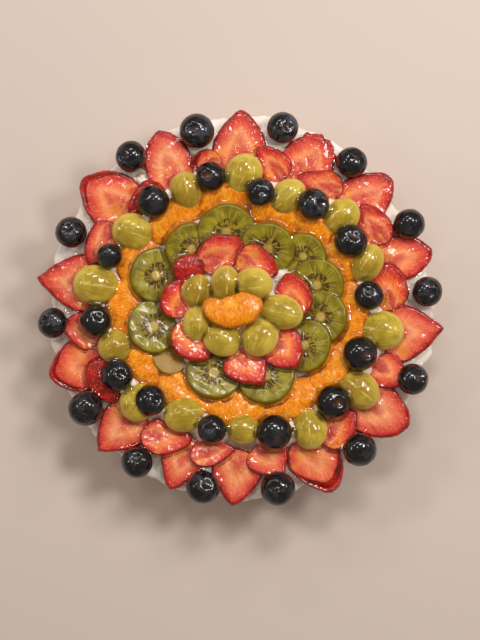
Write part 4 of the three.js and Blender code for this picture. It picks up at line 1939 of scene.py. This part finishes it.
SECOND_SLICES = (
    Slice((-1, 151), (18, 150), 42, 0.9, 1.0),
    Slice((24, 160), (41, 157), 34, 0.8, 0.8),
    Slice((49, 156), (67, 143), 32, 0.4, 0.7),
    Slice((71, 136), (84, 163), 34, 0.6, 0.95),
    Slice((97.5, 149), (110, 150), 30, 0.8, 1.0, band=0.3),
    Slice((122.5, 145), (140, 147), 32, 0.7, 0.9, Face.OUTSIDE),
    Slice((146, 153), (164, 160), 34, 0.8, 0.5),
    Slice((190, 141), (185.5, 180), 42, 0.5, 0.5),
    Slice((198.5, 152), (217, 160), 38, 0.7, 0.9, Face.OUTSIDE),
    Slice((232, 163), (250, 140), 38, 0.6, 0.7),
    Slice((251, 158), (268, 141), 28, 0.3, 0.6),
    Slice((277, 137), (284, 175), 47, 0.1, 0.6),
    Slice((300.5, 157), (318, 155), 40, 0.8, 1.0),
    Slice((338.5, 144), (334.5, 181), 38, 0.4, 0.7),
)

INNER_SLICES = (
    Slice((352, 60), (38, 56), 38, 0.8, 1.0),
    Slice((94, 53), (44, 51), 37, 0.7, 0.75),
    Slice((134, 60), (87, 66), 40, 0.8, 0.8),
    Slice((158, 66), (127, 66), 34, 0.8, 0.9, Face.OUTSIDE),
    Slice((190, 62), (153, 68), 42, 0.8, 1.0),
    Slice((192, 62), (238, 62), 46, 0.7, 0.6),
    Slice((262, 42), (285, 81), 46, 0.2, 0.7),
    Slice((318, 40), (314.5, 83), 45, 0.3, 0.9),
)

INNER_NODES = (
    "inner_strawberry_01",
    "inner_strawberry_fan",
    "inner_strawberry_fan",
    "inner_strawberry_fan",
    "inner_strawberry_fan",
    "inner_strawberry_02",
    "inner_strawberry_03",
    "inner_strawberry_04",
)

SEGMENTS = (
    Segment(70, 100, 56, 38),
    Segment(48, 107, 56, 35),
    Segment(27, 110, 56, 34),
    Segment(98, 109, 64, 36),
    Segment(127, 110, 66, 36),
    Segment(153, 116, 64, 36),
    Segment(180, 114, 66, 40),
    Segment(207, 109, 66, 38),
    Segment(236, 101, 66, 40),
    Segment(267, 98, 68, 44),
    Segment(299, 104, 68, 38),
    Segment(326, 106, 64, 36),
    Segment(356.5, 109, 72, 36),
)

TOP_SEGMENT = Segment(187, 8.1, 60, 32)

DISCS = (
    Disc(101, 78, 29, 1),
    Disc(66, 66, 26, 1.1),
    Disc(40, 82, 23, 1),
    Disc(17, 80, 27, 1),
    Disc(354, 81, 27, 1),
    Disc(330, 75, 26, 1.04),
    Disc(290, 73, 28, 1.06),
    Disc(247.4, 71, 26.5, 1.05),
    Disc(215, 88, 17.5, 1, 1.0, 1.8),
    Disc(192, 90, 26, 1.08),
    Disc(159, 92, 26, 1.06),
    Disc(130, 78, 26, 1.02),
)


@dataclass(frozen=True)
class Panel:
    """A light: its name, where it hangs and its width and depth in metres, and its watts."""

    name: str
    at: Triple
    size: tuple[float, float]
    watts: float


PANELS = (
    Panel("key_a", (0.5, 0.28, 0.85), (0.22, 0.16), 3.1),
    Panel("key_b", (0.12, 0.56, 0.9), (0.22, 0.16), 3.0),
    Panel("panel_a", (-0.3, 1.16, 0.92), (0.45, 0.1), 1.8),
    Panel("panel_b", (-0.81, 0.68, 1.06), (0.4, 0.1), 1.6),
    Panel("panel_c", (0.5, 0.87, 1.15), (0.35, 0.1), 1.4),
    Panel("panel_d", (1.15, 0.3, 0.86), (0.4, 0.1), 1.6),
    Panel("panel_e", (-1.19, 0.2, 0.86), (0.3, 0.1), 1.6),
    Panel("panel_f", (-0.3, 0.4, 1.4), (0.2, 0.1), 1.0),
)


@dataclass
class Studio:
    """The floor, the lights and the camera, with lengths in metres and the height of the view in steps."""

    panels: Sequence[Panel] = PANELS
    light_colour: Triple = (1.0, 0.965, 0.925)
    light_aim: Triple = (0.0, 0.0, 0.03)
    floor_size: float = 6.0
    floor_colour: Colour = (0.66, 0.56, 0.505, 1.0)
    floor_roughness: float = 0.75
    sky: Colour = (1.0, 0.9, 0.78, 1.0)
    sky_strength: float = 0.28
    fruit_plane: float = 0.042
    camera_height: float = 1.0
    camera_nearest: float = 0.01
    sensor_mm: float = 24.0
    frame_steps: float = 640.0
    centre: tuple[float, float] = (-0.6 * MM, -7.15 * MM)

    def floor(self) -> None:
        """Lays the plain pale floor."""
        half = self.floor_size / 2
        corners = [(-half, -half, 0), (half, -half, 0), (half, half, 0), (-half, half, 0)]
        mesh = bpy.data.meshes.new("floor")
        mesh.from_pydata(corners, [], [(0, 1, 2, 3)])
        paint = Paint("floor")
        shader = paint.skin(Base_Color=self.floor_colour, Roughness=self.floor_roughness)
        mesh.materials.append(paint.finish(shader))
        floor = bpy.data.objects.new("floor", mesh)
        bpy.context.scene.collection.objects.link(floor)

    def lights(self) -> None:
        """Hangs the panels, two keys at the upper right and small ones round them, facing the tart."""
        for panel in self.panels:
            data = bpy.data.lights.new(panel.name, "AREA")
            data.shape = "RECTANGLE"
            data.size, data.size_y = panel.size
            data.energy = panel.watts
            data.color = self.light_colour
            lamp = bpy.data.objects.new(panel.name, data)
            lamp.location = panel.at
            facing = Vector(self.light_aim) - Vector(panel.at)
            lamp.rotation_euler = facing.to_track_quat("-Z", "Y").to_euler()
            bpy.context.scene.collection.objects.link(lamp)

    def ambient(self) -> None:
        """Fills the room with even light."""
        world = bpy.data.worlds.new("room")
        world.use_nodes = True
        background = world.node_tree.nodes["Background"]
        background.inputs["Color"].default_value = self.sky
        background.inputs["Strength"].default_value = self.sky_strength
        bpy.context.scene.world = world

    def camera(self) -> None:
        """Sets the camera straight above, looking down, its frame at the height of the fruit."""
        data = bpy.data.cameras.new("camera")
        data.sensor_fit = "VERTICAL"
        data.sensor_height = self.sensor_mm
        distance = self.camera_height - self.fruit_plane
        frame_height = self.frame_steps * STEP_MM * MM
        data.lens = data.sensor_height * distance / frame_height
        data.clip_start = self.camera_nearest
        camera = bpy.data.objects.new("camera", data)
        camera.location = (*self.centre, self.camera_height)
        bpy.context.scene.collection.objects.link(camera)
        bpy.context.scene.camera = camera

    def build(self) -> None:
        """Sets everything up."""
        self.floor()
        self.lights()
        self.ambient()
        self.camera()
        bpy.context.scene.view_settings.view_transform = "Standard"


def main() -> None:
    """Builds the tart from the crust up, then the glaze, then the room."""
    logging.basicConfig(level=logging.INFO, format="%(name)s %(message)s")
    strawberry = StrawberryFinish().material()
    blueberry = BlueberryFinish().material()
    grape = GrapeFinish().material()
    mandarin = MandarinFinish().material()
    Crust(CrustFinish().material()).build()
    cream = CreamFinish().material()
    Cream(cream).build()
    ring = ["strawberry_ring"]
    StrawberrySlices("outer_slice", OUTER_SLICES, 6.5, height=3.8, nodes=ring, material=strawberry).build()
    StrawberrySlices(
        "second_slice", SECOND_SLICES, 6.0, height=6.1, nodes=ring, material=strawberry, tilt=12, seed=2
    ).build()
    random = Random(11)
    Blueberries("inner_blueberry", INNER_BERRIES, random, blueberry, height=13.4).build()
    Blueberries("rim_blueberry", RIM_BERRIES, random, blueberry).build()
    Grapes("outer_grape", OUTER_GRAPES, dome=10, height=7.9, tilt=17, material=grape).build()
    Mandarins("mandarin", SEGMENTS, 16, node="mandarin_ring", material=mandarin, height=6.25).build()
    Kiwis(DISCS, thickness=5, height=7.8, tilt=16, roll=3, material=KiwiFinish().material()).build()
    StrawberrySlices(
        "inner_slice", INNER_SLICES, 5.4, height=11, nodes=INNER_NODES, material=strawberry, tilt=16, seed=3
    ).build()
    Grapes("centre_grape", CENTRE_GRAPES, dome=9, height=9.6, tilt=17, material=grape).build()
    Mandarins(
        "top_segment", [TOP_SEGMENT], 9, node="top_mandarin", material=mandarin, height=20, turn=-3, hump=1.9
    ).build()
    relief = Relief()
    relief.read("cream_layer", "top_segment_01")
    CreamBetween(relief, cream).build()
    Glaze(relief, GlazeFinish().material()).build()
    Studio().build()


if __name__ == "__main__":
    main()
